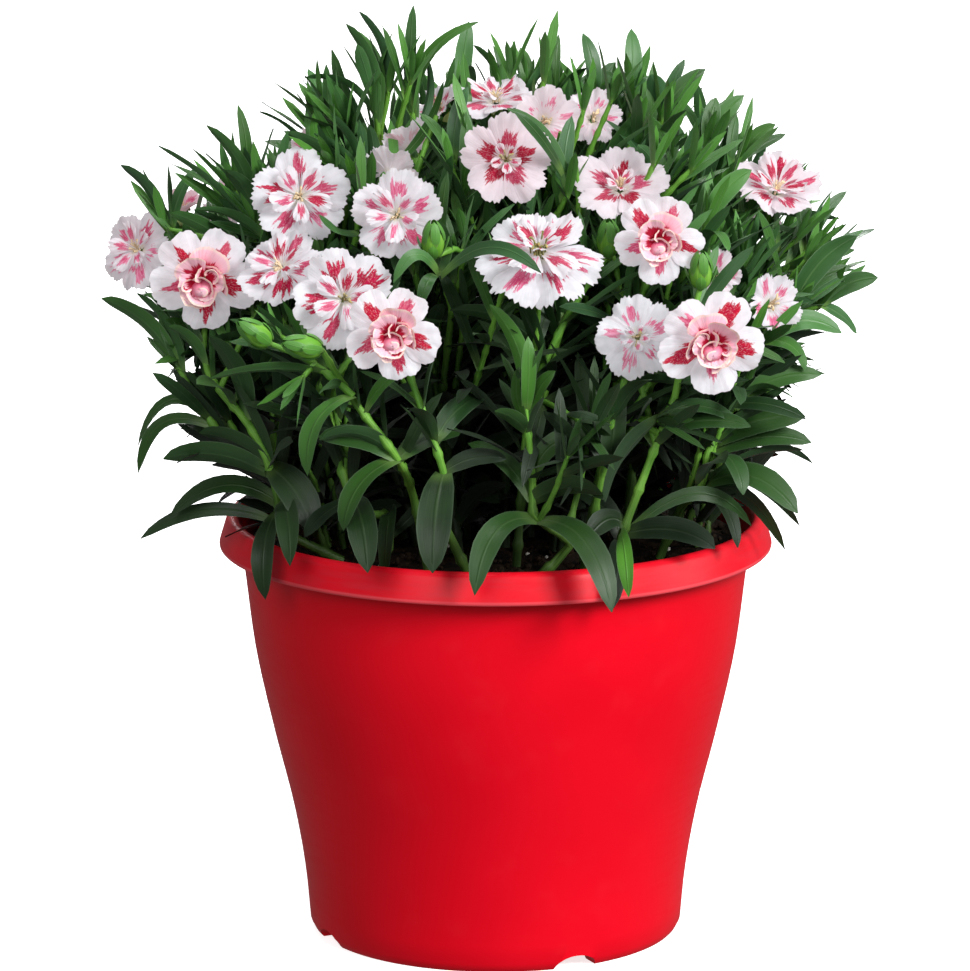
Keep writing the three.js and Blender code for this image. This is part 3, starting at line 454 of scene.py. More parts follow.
# %% [markdown]
# Leaves, petals, sepals and stalks repeat hundreds of times, so each is modelled once as a flat blank
# and pressed into shape for every copy. A blank is a grid given a thickness, with its rims pinched
# shut: x runs across from -1 to 1, y along from 0 to 1, and z from the under side to the upper.


# %% Blanks
RIM = 0.999
WELD = 1e-4
PETAL_COLUMNS = 28


class Blank:
    """The corners and faces of a shape that is copied many times."""

    def __init__(self, piece):
        mesh = piece.data
        self.spots = np.array([corner.co for corner in mesh.vertices])
        self.faces = [list(face.vertices) for face in mesh.polygons]
        bpy.data.objects.remove(piece)


def flat_blank(columns, rows):
    bpy.ops.mesh.primitive_grid_add(x_subdivisions=columns, y_subdivisions=rows, size=2)
    blank = bpy.context.active_object
    wall = blank.modifiers.new("wall", "SOLIDIFY")
    wall.thickness = 1
    wall.offset = 0
    bpy.ops.object.modifier_apply(modifier="wall")
    for corner in blank.data.vertices:
        if max(abs(corner.co.x), abs(corner.co.y)) > RIM:
            corner.co.z = 0
        corner.co.y = (corner.co.y + 1) / 2
    bpy.ops.object.mode_set(mode="EDIT")
    bpy.ops.mesh.select_all(action="SELECT")
    bpy.ops.mesh.remove_doubles(threshold=WELD)
    align_faces()
    return Blank(blank)


def round_blank(sides, rows):
    """A closed tube round the y axis: x and z are the sine and cosine of its angle."""
    bpy.ops.mesh.primitive_circle_add(vertices=sides, radius=1, rotation=(math.radians(90), 0, 0))
    blank = bpy.context.active_object
    bpy.ops.object.transform_apply()
    bpy.ops.object.mode_set(mode="EDIT")
    bpy.ops.mesh.select_all(action="SELECT")
    for _ in range(rows):
        bpy.ops.mesh.extrude_edges_move(TRANSFORM_OT_translate={"value": (0, 1 / rows, 0)})
    close_ends()
    return Blank(blank)


LEAF_BLANK = flat_blank(4, 12)
SMALL_LEAF_BLANK = flat_blank(2, 8)
TIP_LEAF_BLANK = flat_blank(2, 5)
PETAL_BLANK = flat_blank(PETAL_COLUMNS, 10)
INNER_PETAL_BLANK = flat_blank(12, 10)
print("blanks of", len(LEAF_BLANK.faces), len(SMALL_LEAF_BLANK.faces), len(PETAL_BLANK.faces), "faces")

# %% [markdown]
# A piece gathers the pressed copies into one mesh. Each copy brings its place on the sheet as a UV
# map, and its tone as a colour attribute: three numbers that its finish reads, and which side is up.


# %% Pressing copies into a piece
SHARP_ANGLE = 75


class Piece:
    """Pressed copies of blanks, in millimetres, gathered into one object."""

    def __init__(self, name):
        self.name = name
        self.spots = []
        self.sheets = []
        self.tones = []
        self.faces = []
        self.kinds = []
        self.count = 0

    def press(self, blank, shape, tone, kind=0):
        x, y, z = blank.spots.T
        self.spots.append(shape(x, y, z))
        self.sheets.append(np.stack([(x + 1) / 2, y], axis=1))
        self.tones.append(np.column_stack([np.tile(tone, (len(x), 1)), 0.5 + np.sign(z) / 2]))
        self.faces += [[corner + self.count for corner in face] for face in blank.faces]
        self.kinds += [kind] * len(blank.faces)
        self.count += len(x)

    def mesh(self):
        mesh = bpy.data.meshes.new(self.name)
        mesh.from_pydata((np.concatenate(self.spots) * MM).tolist(), [], self.faces)
        corners = np.zeros(len(mesh.loops), dtype=np.int32)
        mesh.loops.foreach_get("vertex_index", corners)
        sheet = mesh.uv_layers.new(name="sheet")
        sheet.uv.foreach_set("vector", np.concatenate(self.sheets)[corners].ravel().astype(np.float32))
        tone = mesh.color_attributes.new("tone", "FLOAT_COLOR", "POINT")
        tone.data.foreach_set("color", np.concatenate(self.tones).ravel().astype(np.float32))
        mesh.polygons.foreach_set("material_index", np.array(self.kinds, dtype=np.int32))
        mesh.shade_smooth()
        mesh.set_sharp_from_angle(angle=math.radians(SHARP_ANGLE))
        return mesh

    def finish(self, slot, replaced, *finishes):
        piece = bpy.data.objects.new(self.name, self.mesh())
        bpy.context.scene.collection.objects.link(piece)
        return dressed(piece, slot, replaced, *finishes)


def unit(vectors):
    return vectors / np.linalg.norm(vectors, axis=-1, keepdims=True)


def way(heading, climb):
    """The way of a heading from the front towards the right, and of a climb above level."""
    heading, climb = math.radians(heading), math.radians(climb)
    level = math.cos(climb)
    return np.array([math.sin(heading) * level, -math.cos(heading) * level, math.sin(climb)])


def float_spots(spots):
    """Places from a table, ready for sums."""
    return [np.array(spot, dtype=float) for spot in spots]


UP = np.array([0.0, 0.0, 1.0])
print("the front is", way(0, 0), "and the right is", way(90, 0).round(3))

# %% [markdown]
# The layout repeats the named values of the solid model: each bloom's place, the heading and climb of
# the way it faces, its radius, form and turn; the joints that leaves grow from; and each stem's root
# with its branches, which start at a share of the first branch, pass joints and may end in a bloom
# or a bud.

# %% Layout
BLOOMS = {
    "bloom_far_left": ((-141, 2, 274), -40, 25, 17, "star", 0),
    "bloom_half_open_left": ((-124, 16, 287), 25, 65, 11, "opening", 20),
    "rosette_left": ((-113, -46, 272), -5, -8, 22, "rosette", -12),
    "bloom_upper_left": ((-76, -36, 302), 8, 22, 20, "star", 20),
    "bloom_behind_upper_left": ((-73, 6, 313), -20, 35, 10, "opening", 0),
    "bloom_centre_left": ((-38, -66, 300), -8, 12, 18.5, "star", 15),
    "bloom_frilled_back": ((-41, -32, 311), 160, 40, 12, "small", 0),
    "bloom_behind_centre_left": ((-34, 0, 315), -150, 40, 13, "small", 30),
    "bloom_left_of_middle": ((-82, -64, 279), -30, 46, 18.5, "star", 10),
    "bloom_open_middle": ((-58, -90, 272), 0, 20, 21, "star", 40),
    "rosette_middle": ((-39, -122, 265), 2, -5, 19, "rosette", -12),
    "bloom_top_left": ((-22, 26, 326), -60, 40, 12, "small", 0),
    "bloom_top": ((0, 6, 333), 0, 76, 18.5, "star", 0),
    "bloom_top_front": ((4, -50, 319), 0, 14, 19, "star", 18),
    "bloom_top_right_back": ((19, -14, 328), 28, 30, 15, "small", 0),
    "bloom_double": ((16, -92, 290), 0, 54, 26, "double", 0),
    "bloom_funnel": ((48, -40, 306), 0, 52, 20, "funnel", 18),
    "rosette_right": ((62, -84, 294), 0, -3, 18, "rosette", -12),
    "bloom_far_right": ((110, 0, 298), 18, 56, 19, "funnel", 0),
    "bloom_pale_lower": ((54, -84, 256), -6, 8, 17, "star", 30),
    "rosette_lower_right": ((81, -108, 259), 6, -6, 21, "rosette", -12),
    "bloom_hidden_right": ((84, -60, 275), 10, 30, 11, "small", 0),
    "bloom_low_right": ((106, -50, 262), 30, 25, 13, "small", 40),
    "bloom_behind_funnel": ((38, 4, 326), 0, 35, 13, "small", 0),
    "bloom_back_left": ((-104, 62, 282), -120, 30, 19, "star", 0),
    "bloom_back_mid_left": ((-48, 96, 286), -160, 26, 20, "star", 10),
    "bloom_back_middle": ((14, 70, 316), 175, 55, 19, "star", 30),
    "bloom_back_mid_right": ((46, 104, 277), 160, 20, 20, "rosette", 0),
    "bloom_back_right": ((104, 60, 282), 120, 30, 19, "star", 50),
}
JOINTS = {
    "tall_left": (-33, 8, 328), "tall_left_second": (-42, 4, 337), "tall_left_third": (-47, -2, 330),
    "broad_left": (-49, -24, 302), "inner_left": (-40, -10, 310), "thin_left": (-70, -10, 309),
    "edge_left": (-99, 0, 294), "fan_left": (-94, -20, 289), "far_left": (-130, -4, 285),
    "between_centre": (-16, -22, 314), "below_centre_left": (-13, -66, 286),
    "top_back_left": (3, 36, 330), "top_back": (12, 32, 331), "top_back_right": (24, 26, 329),
    "top_right": (38, 18, 328), "top_right_second": (54, 14, 330), "top_right_third": (65, 2, 326),
    "wide_front_top": (28, -40, 304), "right_of_funnel": (68, -24, 305), "upper_right": (84, -6, 315),
    "edge_upper_right": (96, 12, 308), "long_right": (81, -46, 292), "outer_right": (124, -6, 276),
    "spray_right": (116, -30, 256), "above_lower_right": (97, -44, 248), "tip_right": (127, -14, 255),
    "arch_right": (103, -54, 248), "low_right": (94, -58, 226), "low_right_second": (83, -64, 210),
    "low_right_third": (80, -60, 194), "front_tip": (11, -92, 233), "front_upper": (12, -92, 222),
    "front_middle": (14, -92, 203), "front_low": (15, -91, 187), "under_pale": (48, -82, 236),
    "under_lower_right": (62, -84, 224), "base_right": (50, -80, 182),
    "front_left_top": (-54, -94, 233), "front_left_mid": (-38, -96, 212), "middle_low": (-20, -96, 206),
    "front_left_base": (-56, -86, 194), "left_base": (-88, -66, 203), "left_rim": (-84, -60, 184),
    "left_broad": (-96, -62, 218), "left_outer_low": (-108, -44, 211),
    "left_outer_top": (-124, -32, 234), "under_rosette_left": (-113, -44, 238),
    "back_tip_left": (-66, 60, 302), "back_tip_middle": (-14, 62, 318), "back_tip_right": (66, 58, 304),
    "back_left_edge": (-126, 44, 250), "back_right_edge": (126, 44, 250),
    "back_low_left": (-88, 82, 214), "back_low_middle": (-16, 100, 222),
    "back_low_right": (76, 92, 212), "back_rim": (24, 92, 188),
}
STEMS = {
    "stem_far_left": ((-44, 4), [
        (0, [], "bloom_far_left"), (0.45, [], "bloom_half_open_left"), (0.55, ["far_left"], None),
    ]),
    "stem_left_fans": ((-36, -6), [
        (0, ["fan_left"], None), (0.5, ["edge_left"], None), (0.4, ["thin_left"], None),
        (0.35, [], "bloom_behind_upper_left"),
    ]),
    "stem_rosette_left": ((-60, -46), [
        (0, ["left_rim", "left_base", "left_broad", "under_rosette_left"], "rosette_left"),
    ]),
    "stem_left_edge": ((-66, -22), [(0, ["left_outer_low", "left_outer_top"], None)]),
    "stem_upper_left": ((-30, -18), [(0, [], "bloom_upper_left"), (0.5, ["broad_left"], None)]),
    "stem_left_of_middle": ((-44, -58), [
        (0, ["front_left_base"], "bloom_left_of_middle"), (0.4, [], "bloom_open_middle"),
    ]),
    "stem_centre_left": ((-14, -38), [
        (0, [], "bloom_centre_left"), (0.5, ["between_centre"], None),
        (0.4, ["below_centre_left"], (-24, -78, 286)),
    ]),
    "stem_rosette_middle": ((-10, -74), [(0, ["middle_low"], "rosette_middle")]),
    "stem_front_left": ((-26, -68), [
        (0, ["front_left_mid", "front_left_top"], (-66, -108, 256)), (0.8, [], (-86, -96, 256)),
    ]),
    "stem_frilled": ((-20, -2), [
        (0, [], "bloom_frilled_back"), (0.5, [], "bloom_behind_centre_left"),
        (0.6, ["inner_left"], None),
    ]),
    "stem_tall_left": ((-22, 14), [
        (0, ["tall_left"], None), (0.6, ["tall_left_second"], None), (0.5, ["tall_left_third"], None),
    ]),
    "stem_top": ((0, 10), [
        (0, [], "bloom_top"), (0.5, [], "bloom_top_left"), (0.45, ["top_back_left"], None),
        (0.5, ["top_back"], None), (0.55, ["top_back_right"], None),
    ]),
    "stem_top_front": ((4, -22), [(0, [], "bloom_top_front"), (0.5, ["wide_front_top"], None)]),
    "stem_top_right_back": ((14, -4), [
        (0, [], "bloom_top_right_back"), (0.5, [], "bloom_behind_funnel"),
    ]),
    "stem_double": ((8, -54), [(0, [], "bloom_double"), (0.6, [], (43, -64, 284))]),
    "stem_front": ((14, -82), [(0, ["front_low", "front_middle", "front_upper", "front_tip"], None)]),
    "stem_funnel": ((26, -26), [(0, [], "bloom_funnel"), (0.5, ["right_of_funnel"], None)]),
    "stem_rosette_right": ((34, -46), [(0, [], "rosette_right"), (0.5, [], "bloom_hidden_right")]),
    "stem_pale_lower": ((34, -66), [(0, ["under_pale"], "bloom_pale_lower")]),
    "stem_rosette_lower_right": ((48, -72), [
        (0, ["base_right"], "rosette_lower_right"), (0.55, ["under_lower_right"], None),
        (0.7, [], (78, -82, 275)),
    ]),
    "stem_long_right": ((50, -30), [
        (0, ["long_right"], None), (0.5, ["arch_right"], None), (0.45, [], "bloom_low_right"),
    ]),
    "stem_far_right": ((50, -6), [
        (0, [], "bloom_far_right"), (0.5, ["outer_right"], None), (0.4, ["spray_right"], None),
        (0.45, ["tip_right"], None),
    ]),
    "stem_top_right": ((30, 6), [
        (0, ["top_right_second"], None), (0.5, ["top_right"], None), (0.5, ["top_right_third"], None),
        (0.4, ["upper_right"], None), (0.45, ["edge_upper_right"], None),
    ]),
    "stem_low_right": ((64, -42), [
        (0, ["low_right_third", "low_right_second", "low_right"], None),
        (0.5, ["above_lower_right"], None),
    ]),
    "stem_back_left": ((-44, 44), [
        (0, [], "bloom_back_left"), (0.4, ["back_tip_left"], None), (0.35, ["back_left_edge"], None),
        (0.25, ["back_low_left"], None),
    ]),
    "stem_back_mid_left": ((-14, 64), [
        (0, [], "bloom_back_mid_left"), (0.3, ["back_low_middle"], None),
    ]),
    "stem_back_middle": ((8, 40), [(0, [], "bloom_back_middle"), (0.5, ["back_tip_middle"], None)]),
    "stem_back_mid_right": ((24, 66), [(0, ["back_rim"], "bloom_back_mid_right")]),
    "stem_back_right": ((46, 40), [
        (0, [], "bloom_back_right"), (0.4, ["back_tip_right"], None), (0.35, ["back_right_edge"], None),
        (0.25, ["back_low_right"], None),
    ]),
}
print(len(BLOOMS), "blooms on", len(STEMS), "stems")

# %% [markdown]
# A stalk follows a smooth curve from the mix through its joints to its bloom. Some stalks bow aside
# to clear their neighbours, so each way of bowing is tried and the one that runs inside the node is
# kept.

# %% Stalk lines
SOIL_LEVEL = 157.5
COLLAR = 2
BOW = 0.08
CURVE_STEPS = 24
STALK_STEP = 52
ROW_GAP = 4
LEAST_ROWS = 8
CALYX_LENGTH = 16
CALYX_START = 3.6 + 0.35 + CALYX_LENGTH
STRAIGHT = 10
STRAIGHT_DROP = 5
SWAYS = [
    (0, 0), (6, 0), (-6, 0), (0, 6), (0, -6), (9, 9), (-9, -9), (9, -9), (-9, 9), (14, 0), (-14, 0),
    (0, 14), (0, -14),
]


def run_lengths(line):
    """How far along a line each of its points lies."""
    return np.concatenate([[0], np.cumsum(np.linalg.norm(np.diff(line, axis=0), axis=1))])


def spots_at(line, lengths, places):
    """The points of a line at some lengths from its start."""
    return np.stack([np.interp(places, lengths, line[:, axis]) for axis in range(3)], axis=1)


def rows_for(length):
    return max(LEAST_ROWS, int(length / ROW_GAP))


def through(points, count):
    """Evenly spaced points on a smooth curve through the given ones."""
    points = [2 * points[0] - points[1], *points, 2 * points[-1] - points[-2]]
    fine = []
    for a, b, c, d in zip(points, points[1:], points[2:], points[3:]):
        for t in np.linspace(0, 1, CURVE_STEPS, endpoint=False):
            fine.append(b + t * (c - a) / 2 + t ** 2 * (a - 2.5 * b + 2 * c - d / 2)
                        + t ** 3 * (d - a + 3 * b - 3 * c) / 2)
    fine = np.array([*fine, points[-2]])
    lengths = run_lengths(fine)
    return spots_at(fine, lengths, np.linspace(0, lengths[-1], count)), lengths[-1]


def branch_points(start, joints, end, sway):
    """The points that a stalk runs through, with one more low down where it bows."""
    points = [start, *float_spots(JOINTS[name] for name in joints)]
    if isinstance(end, str):
        at, heading, climb = BLOOMS[end][:3]
        facing = way(heading, climb)
        base = np.array(at) - facing * CALYX_START
        points += [base - facing * STRAIGHT - UP * STRAIGHT_DROP, base]
    elif end:
        points += float_spots([end])
    middle = (points[0] + points[1]) / 2
    middle[2] += np.linalg.norm(points[1] - points[0]) * BOW
    middle[:2] += sway
    points.insert(1, middle)
    return points


def surface(*names):
    """The faces of nodes, to measure distances from and to cast rays at."""
    corners, faces = [], []
    for name in names:
        mesh = nodes[name].data
        faces += [[corner + len(corners) for corner in face.vertices] for face in mesh.polygons]
        corners += [corner.co / MM for corner in mesh.vertices]
    return BVHTree.FromPolygons(corners, faces)


def coarse_and_smooth(points):
    """The line with the solid's own few points, and with many."""
    length = through(points, 2)[1]
    steps = max(2, math.floor(length / STALK_STEP + 0.5))
    return through(points, steps + 1)[0], through(points, rows_for(length))[0]


def stem_lines(name):
    """The smooth line of each branch, and what it ends in."""
    root, branches = STEMS[name]
    skin = surface(name)
    lines = []
    first = None
    for fork, joints, end in branches:
        start = np.array([*root, SOIL_LEVEL + COLLAR], dtype=float)
        if first is not None:
            at = fork * (len(first) - 1)
            before = min(int(at), len(first) - 2)
            start = first[before] + (at - before) * (first[before + 1] - first[before])
        best = None
        for sway in SWAYS:
            coarse, smooth = coarse_and_smooth(branch_points(start, joints, end, sway))
            away = sum(skin.find_nearest(Vector(spot))[3] for spot in coarse[1:])
            if best is None or away < best[0]:
                best = (away, coarse, smooth)
        first = best[1] if first is None else first
        lines.append((best[2], joints, end))
    return lines


LINES = {name: stem_lines(name) for name in STEMS}
print(sum(len(lines) for lines in LINES.values()), "branches")

# %% [markdown]
# Every large leaf of the solid model stays where it is. A leaf there ends in a tip of three edges, with
# rings of three corners below: two for its edges and one for its keel. Walking down the rings gives
# its length, width and arch, and the fine leaf is pressed onto the same curve. A tip with one ring is a
# short leaf if it has a leaf's size. A few long leaves are added, which arch in front of the blooms or
# over the pot's lip and which the solid model has no room for.

# %% Leaves of the model
LEAF_LIFT = 0.12
LONG_LEAF = (0.74, 0.42, 0.8)
SHORT_LEAF = (0.66, 0.26, 0.92)
LONG_LEAF_TAPER = 0.93
ONE_RING_WIDTH = (5.5, 9)
ONE_RING_LENGTH = (9, 16)
ONE_RING_SHARE = 2.8
ONE_RING_ARCH = 2


def rings_below(tip):
    rings = [[edge.other_vert(tip) for edge in tip.link_edges]]
    seen = {tip, *rings[0]}
    while True:
        below = {}
        for corner in rings[-1]:
            for edge in corner.link_edges:
                other = edge.other_vert(corner)
                if other not in seen:
                    below[other] = below.get(other, 0) + 1
        if len(below) != 3 or set(below.values()) != {2}:
            return rings
        rings.append(list(below))
        seen.update(below)


def measured_ring(ring):
    """Middle, width and upper way of a ring of three corners."""
    spots = [np.array(corner.co) / MM for corner in ring]
    keel = max(range(3), key=lambda i: np.linalg.norm(spots[(i + 1) % 3] - spots[(i + 2) % 3]))
    one, other = spots[(keel + 1) % 3], spots[(keel + 2) % 3]
    middle = (one + other) / 2
    upper = middle - spots[keel]
    upper /= np.linalg.norm(upper)
    width = np.linalg.norm(one - other)
    return middle - upper * LEAF_LIFT * width / 2, width, upper


def leaf_at(tip):
    """Root, bend, tip, width and upper way of a leaf, or None where the tip isn't a leaf's."""
    rings = rings_below(tip)
    end = np.array(tip.co) / MM
    near, near_wide, upper = measured_ring(rings[0])
    if len(rings) < 2:
        along = near - end
        fits = ONE_RING_WIDTH[0] < near_wide < ONE_RING_WIDTH[1]
        if not fits or not ONE_RING_LENGTH[0] < np.linalg.norm(along) < ONE_RING_LENGTH[1]:
            return None
        root = end + along * ONE_RING_SHARE
        return root, (root + end) / 2 + upper * ONE_RING_ARCH, end, near_wide, upper
    far, far_wide, _ = measured_ring(rings[1])
    top, low, share = LONG_LEAF if near_wide < LONG_LEAF_TAPER * far_wide else SHORT_LEAF
    squares = [((1 - t) ** 2, 2 * t * (1 - t), t ** 2) for t in (top, low)]
    (a, b, c), (d, e, f) = squares
    left, right = near - c * end, far - f * end
    root = (left * e - right * b) / (a * e - d * b)
    bend = (a * right - d * left) / (a * e - d * b)
    return root, bend, end, near_wide / share, upper


def model_leaves(name):
    shape = bmesh.new()
    shape.from_mesh(nodes[name].data)
    bmesh.ops.remove_doubles(shape, verts=shape.verts, dist=0.001 * MM)
    tips = [corner for corner in shape.verts if len(corner.link_edges) == len(corner.link_faces) == 3]
    leaves = [leaf for leaf in map(leaf_at, tips) if leaf is not None]
    shape.free()
    return leaves


ARCHING = {
    "stem_centre_left": [
        ((-21, -82, 279), (-2, -114, 307), (17, -122, 288), 6.8),
        ((-22, -84, 281), (-31, -95, 299), (-39, -94, 279), 5.6),
        ((-23, -84, 280), (-26, -96, 283), (-29, -92, 270), 5.6),
    ],
    "stem_top_front": [((26, -44, 312), (18, -68, 332), (7, -70, 341), 5.4)],
    "stem_upper_left": [((-53, -36, 288), (-61, -68, 291), (-68, -68, 301), 5.6)],
    "stem_rosette_left": [((-85, -61, 181), (-92, -85, 178), (-89, -80, 152), 8)],
    "stem_left_edge": [((-110, -43, 212), (-135, -36, 224), (-140, -36, 192), 5)],
}
ARCHING_UPPER = np.array([0, -0.8, 0.6])
MODEL_LEAVES = {name: model_leaves(name) for name in STEMS}
for name, leaves in ARCHING.items():
    MODEL_LEAVES[name] += [(*float_spots(spots), width, ARCHING_UPPER) for *spots, width in leaves]
print(sum(len(leaves) for leaves in MODEL_LEAVES.values()), "leaves of the model")

# %% [markdown]
# A dianthus leaf is lance-shaped: it clasps the stalk, widens slowly to the middle and tapers to a
# sharp tip. It is folded a little along its middle, with a keel below.

# %% Leaf shape
LEAF_OUTLINE = [
    (0, 0.45), (0.1, 0.62), (0.25, 0.84), (0.45, 0.97), (0.66, 0.97), (0.81, 0.8), (0.91, 0.55),
    (0.975, 0.25), (1, 0.03),
]
LEAF_FOLD = 0.2
LEAF_THICK = (0.95, 0.3)


def arched(root, bend, tip, t):
    """The middle line of a leaf at shares t of its way from root to tip."""
    return (1 - t) ** 2 * root + 2 * t * (1 - t) * bend + t ** 2 * tip


def pressed_leaf(root, bend, tip, width, upper, wave=0.0):
    """A leaf on its arch: folded at the midrib, thinner at its edges, and waved along them."""
    def shape(x, y, z):
        t = y[:, None]
        along = unit((1 - t) * (bend - root) + t * (tip - bend))
        up = unit(upper - along * (along @ upper)[:, None])
        side = np.cross(along, up)
        half = width / 2 * np.interp(y, *zip(*LEAF_OUTLINE))
        thick = np.interp(y, (0, 1), LEAF_THICK) * (1.15 - 0.6 * np.abs(x))
        ripple = wave * np.sin(9 * y + 2 * x) * np.abs(x)
        rise = LEAF_FOLD * half * np.abs(x) ** 1.4 + thick * (z - 0.1) + ripple
        return arched(root, bend, tip, t) + side * (x * half)[:, None] + up * rise[:, None]
    return shape


# %% [markdown]
# More leaves fill the bush. They grow in opposite pairs up every stalk, each pair a quarter turn from
# the last, spread out and arch over. A new leaf must stay clear of the pot, of every bloom and of the
# room in front of it, and of the leaves that are already there; a grid of small cells remembers them.
# It must not hide a bud or a showy bloom from the front either, and the low front stays open. The
# blooms at the back and the small ones among the leaves may be covered in part, as on any full plant.

# %% Room for new leaves
CELL = 2.3
BOX_MARGIN = 0.6
BLOOM_CLEARANCE = 2.4
VIEW_REACH = 420
RAY_START = 2
LEAF_REACH = 34
FRONT_HALF = 30
CROWN = [
    (-160, 290), (-125, 312), (-95, 325), (-78, 336), (-66, 350), (-52, 364), (-16, 366), (-5, 352),
    (15, 348), (50, 352), (70, 340), (95, 328), (112, 314), (135, 294), (152, 268),
]
CROWN_FALL = 0.45
CROWN_DEPTH = 35
TUFT_HEIGHT = 8
TUFT_SCALE = (4.3, 12)
LEFT_REACH = [(170, 122), (215, 127), (240, 134), (262, 145), (290, 156)]
RIGHT_REACH = [(170, 112), (225, 119), (245, 127), (262, 142), (290, 158)]
POT_ROOM = [(96, SOIL_LEVEL + 2.5), (112.5, 171.5), (math.inf, 120)]
OPEN_FRONT = (-52, 212)
EYE_ROOM = (-3, 24)
EYE_SHARE = 0.88
EYE_SPREAD = 0.12
BUD_ROOM = 8
BUD_SPOTS = np.array([
    end for _, branches in STEMS.values() for *_, end in branches if isinstance(end, tuple)
])
COVERED = {
    "bloom_back_left", "bloom_back_mid_left", "bloom_back_middle", "bloom_back_mid_right",
    "bloom_back_right", "bloom_low_right", "bloom_hidden_right", "bloom_behind_upper_left",
}
SHOWY = [name for name in BLOOMS if name not in COVERED]
bloom_skin = surface(*BLOOMS)
front_skin = surface(*SHOWY)
leaf_skin = surface(*STEMS)
taken = set()


def bloom_frame(name):
    at, heading, climb = BLOOMS[name][:3]
    facing = way(heading, climb)
    right = unit(np.cross(UP, facing))
    return np.array(at, dtype=float), np.stack([right, np.cross(facing, right), facing])


BLOOM_FRAMES = {name: bloom_frame(name) for name in BLOOMS}
EYE_PLACES = np.array([BLOOM_FRAMES[name][0] for name in SHOWY])
EYE_AXES = np.array([BLOOM_FRAMES[name][1] for name in SHOWY])
EYE_RADII = np.array([BLOOMS[name][3] for name in SHOWY])


def leaf_spots(root, bend, tip, count=9):
    return arched(root, bend, tip, np.linspace(0, 1, count)[:, None])


def cells(spots):
    return {tuple(cell) for cell in np.floor(spots / CELL).astype(int)}


def inside_the_crown(spot):
    """The plant is rounded, with tufts: each spot must stay under its top and between its sides."""
    x, y, z = spot
    tuft = TUFT_HEIGHT * math.sin(x / TUFT_SCALE[0]) * math.cos(y / TUFT_SCALE[1])
    top = np.interp(x, *zip(*CROWN)) - CROWN_FALL * max(0, abs(y) - CROWN_DEPTH) + tuft
    return z < top and -np.interp(z, *zip(*LEFT_REACH)) < x < np.interp(z, *zip(*RIGHT_REACH))


def off_the_pot(spot):
    """Above the mix inside the pot, above the lip over it, and not too low outside."""
    x, y, z = spot
    return z > next(lowest for reach, lowest in POT_ROOM if math.hypot(x, y) < reach)


def line_of_sight(spot):
    """The spot, and the way on through it as seen from the front."""
    start = Vector(spot)
    return start, (start - Vector(CAMERA_PLACE)).normalized()


def hides_a_bloom(spot):
    """Whether the spot stands before a showy bloom or a bud, seen from the front."""
    start, ray = line_of_sight(spot)
    ahead = BUD_SPOTS - spot
    depth = ahead @ np.array(ray)
    aside = np.linalg.norm(ahead - np.outer(depth, ray), axis=1)
    before_a_bud = ((depth > 0) & (aside < BUD_ROOM)).any()
    return bool(before_a_bud) or front_skin.ray_cast(start, ray, VIEW_REACH)[0] is not None


def covers_the_model(spots):
    """Whether two of the spots lie just before leaves or stalks of the model, on the front half."""
    hits = 0
    for start, ray in (line_of_sight(spot) for spot in spots if spot[1] < FRONT_HALF):
        hits += leaf_skin.ray_cast(start + ray * RAY_START, ray, LEAF_REACH)[0] is not None
    return hits > 1


def before_a_bloom(spots):
    """Whether any spot lies in the room that a bloom faces."""
    seen = np.einsum("nij,nsj->nsi", EYE_AXES, spots[None] - EYE_PLACES[:, None])
    aside = np.hypot(seen[..., 0], seen[..., 1])
    height = seen[..., 2]
    low, high = EYE_ROOM
    near = aside < EYE_SHARE * EYE_RADII[:, None] + EYE_SPREAD * height
    return bool(((height > low) & (height < high) & near).any())


def has_room(root, bend, tip, width):
    spots = leaf_spots(root, bend, tip)
    margin = BOX_MARGIN + width / 4
    if (spots < BOX_LOW + margin).any() or (spots > BOX_HIGH - margin).any():
        return False
    if cells(spots[3:]) & taken:
        return False
    if not all(off_the_pot(spot) and inside_the_crown(spot) for spot in spots[1:]):
        return False
    clearance = BLOOM_CLEARANCE + width / 3
    if any(bloom_skin.find_nearest(Vector(spot))[3] < clearance for spot in spots[2:]):
        return False
    if covers_the_model(spots[2:]) or (bend[1] < OPEN_FRONT[0] and bend[2] < OPEN_FRONT[1]):
        return False
    return not before_a_bloom(spots[2:]) and not any(hides_a_bloom(spot) for spot in spots[2::2])


for leaves in MODEL_LEAVES.values():
    for root, bend, tip, width, upper in leaves:
        taken |= cells(leaf_spots(root, bend, tip, 24)[6:])
print(len(taken), "cells hold leaves")

# %% [markdown]
# A pair is drawn at its joint: both leaves set out at a spread from the stalk, and bend down or up on
# the way. Where a leaf has no room it is turned, lifted or shortened a few times, then left out. High
# on the plant the pairs close up and follow the upright more than the stalk, as young growth does.

# %% Pairs of leaves
UPRIGHT = 0.7
UPRIGHT_FROM = 245
UPRIGHT_OVER = 50
TRIES = [
    (0, 0, 1), (14, 5, 1), (-14, 5, 1), (26, -8, 0.94), (-26, -8, 0.94), (8, -14, 0.88), (0, 14, 0.8),
]
SIZE_RANGE = (0.88, 1.08)
DROOP_RANGE = (0.7, 1.3)
ROLL = 0.45
PAIR_SPREAD = (34, 60)
PAIR_DROOP = (10, 85)
CLOSING = 14
ROOT_BARE = 9
FORK_BARE = 12
BLOOM_BARE = 18
TIP_BARE = 7
STALK_PAIRS = {"gap": 13, "length": 39, "width": 5.9, "young": 1}
SPRIG_PAIRS = {"first": 14, "last": 2, "gap": 8, "length": 38, "width": 5.2, "young": 0.4}
BRANCH_PAIRS = {"first": 8, "last": 3, "gap": 9.5, "length": 38, "width": 5.4, "young": 0.6}
SHOOT_PAIRS = {"first": 6, "last": 3, "gap": 11, "length": 38, "young": 0.8}
DEEP_PAIRS = {"first": 6, "last": 3, "gap": 8, "length": 36, "width": 7.5, "young": 0.8}


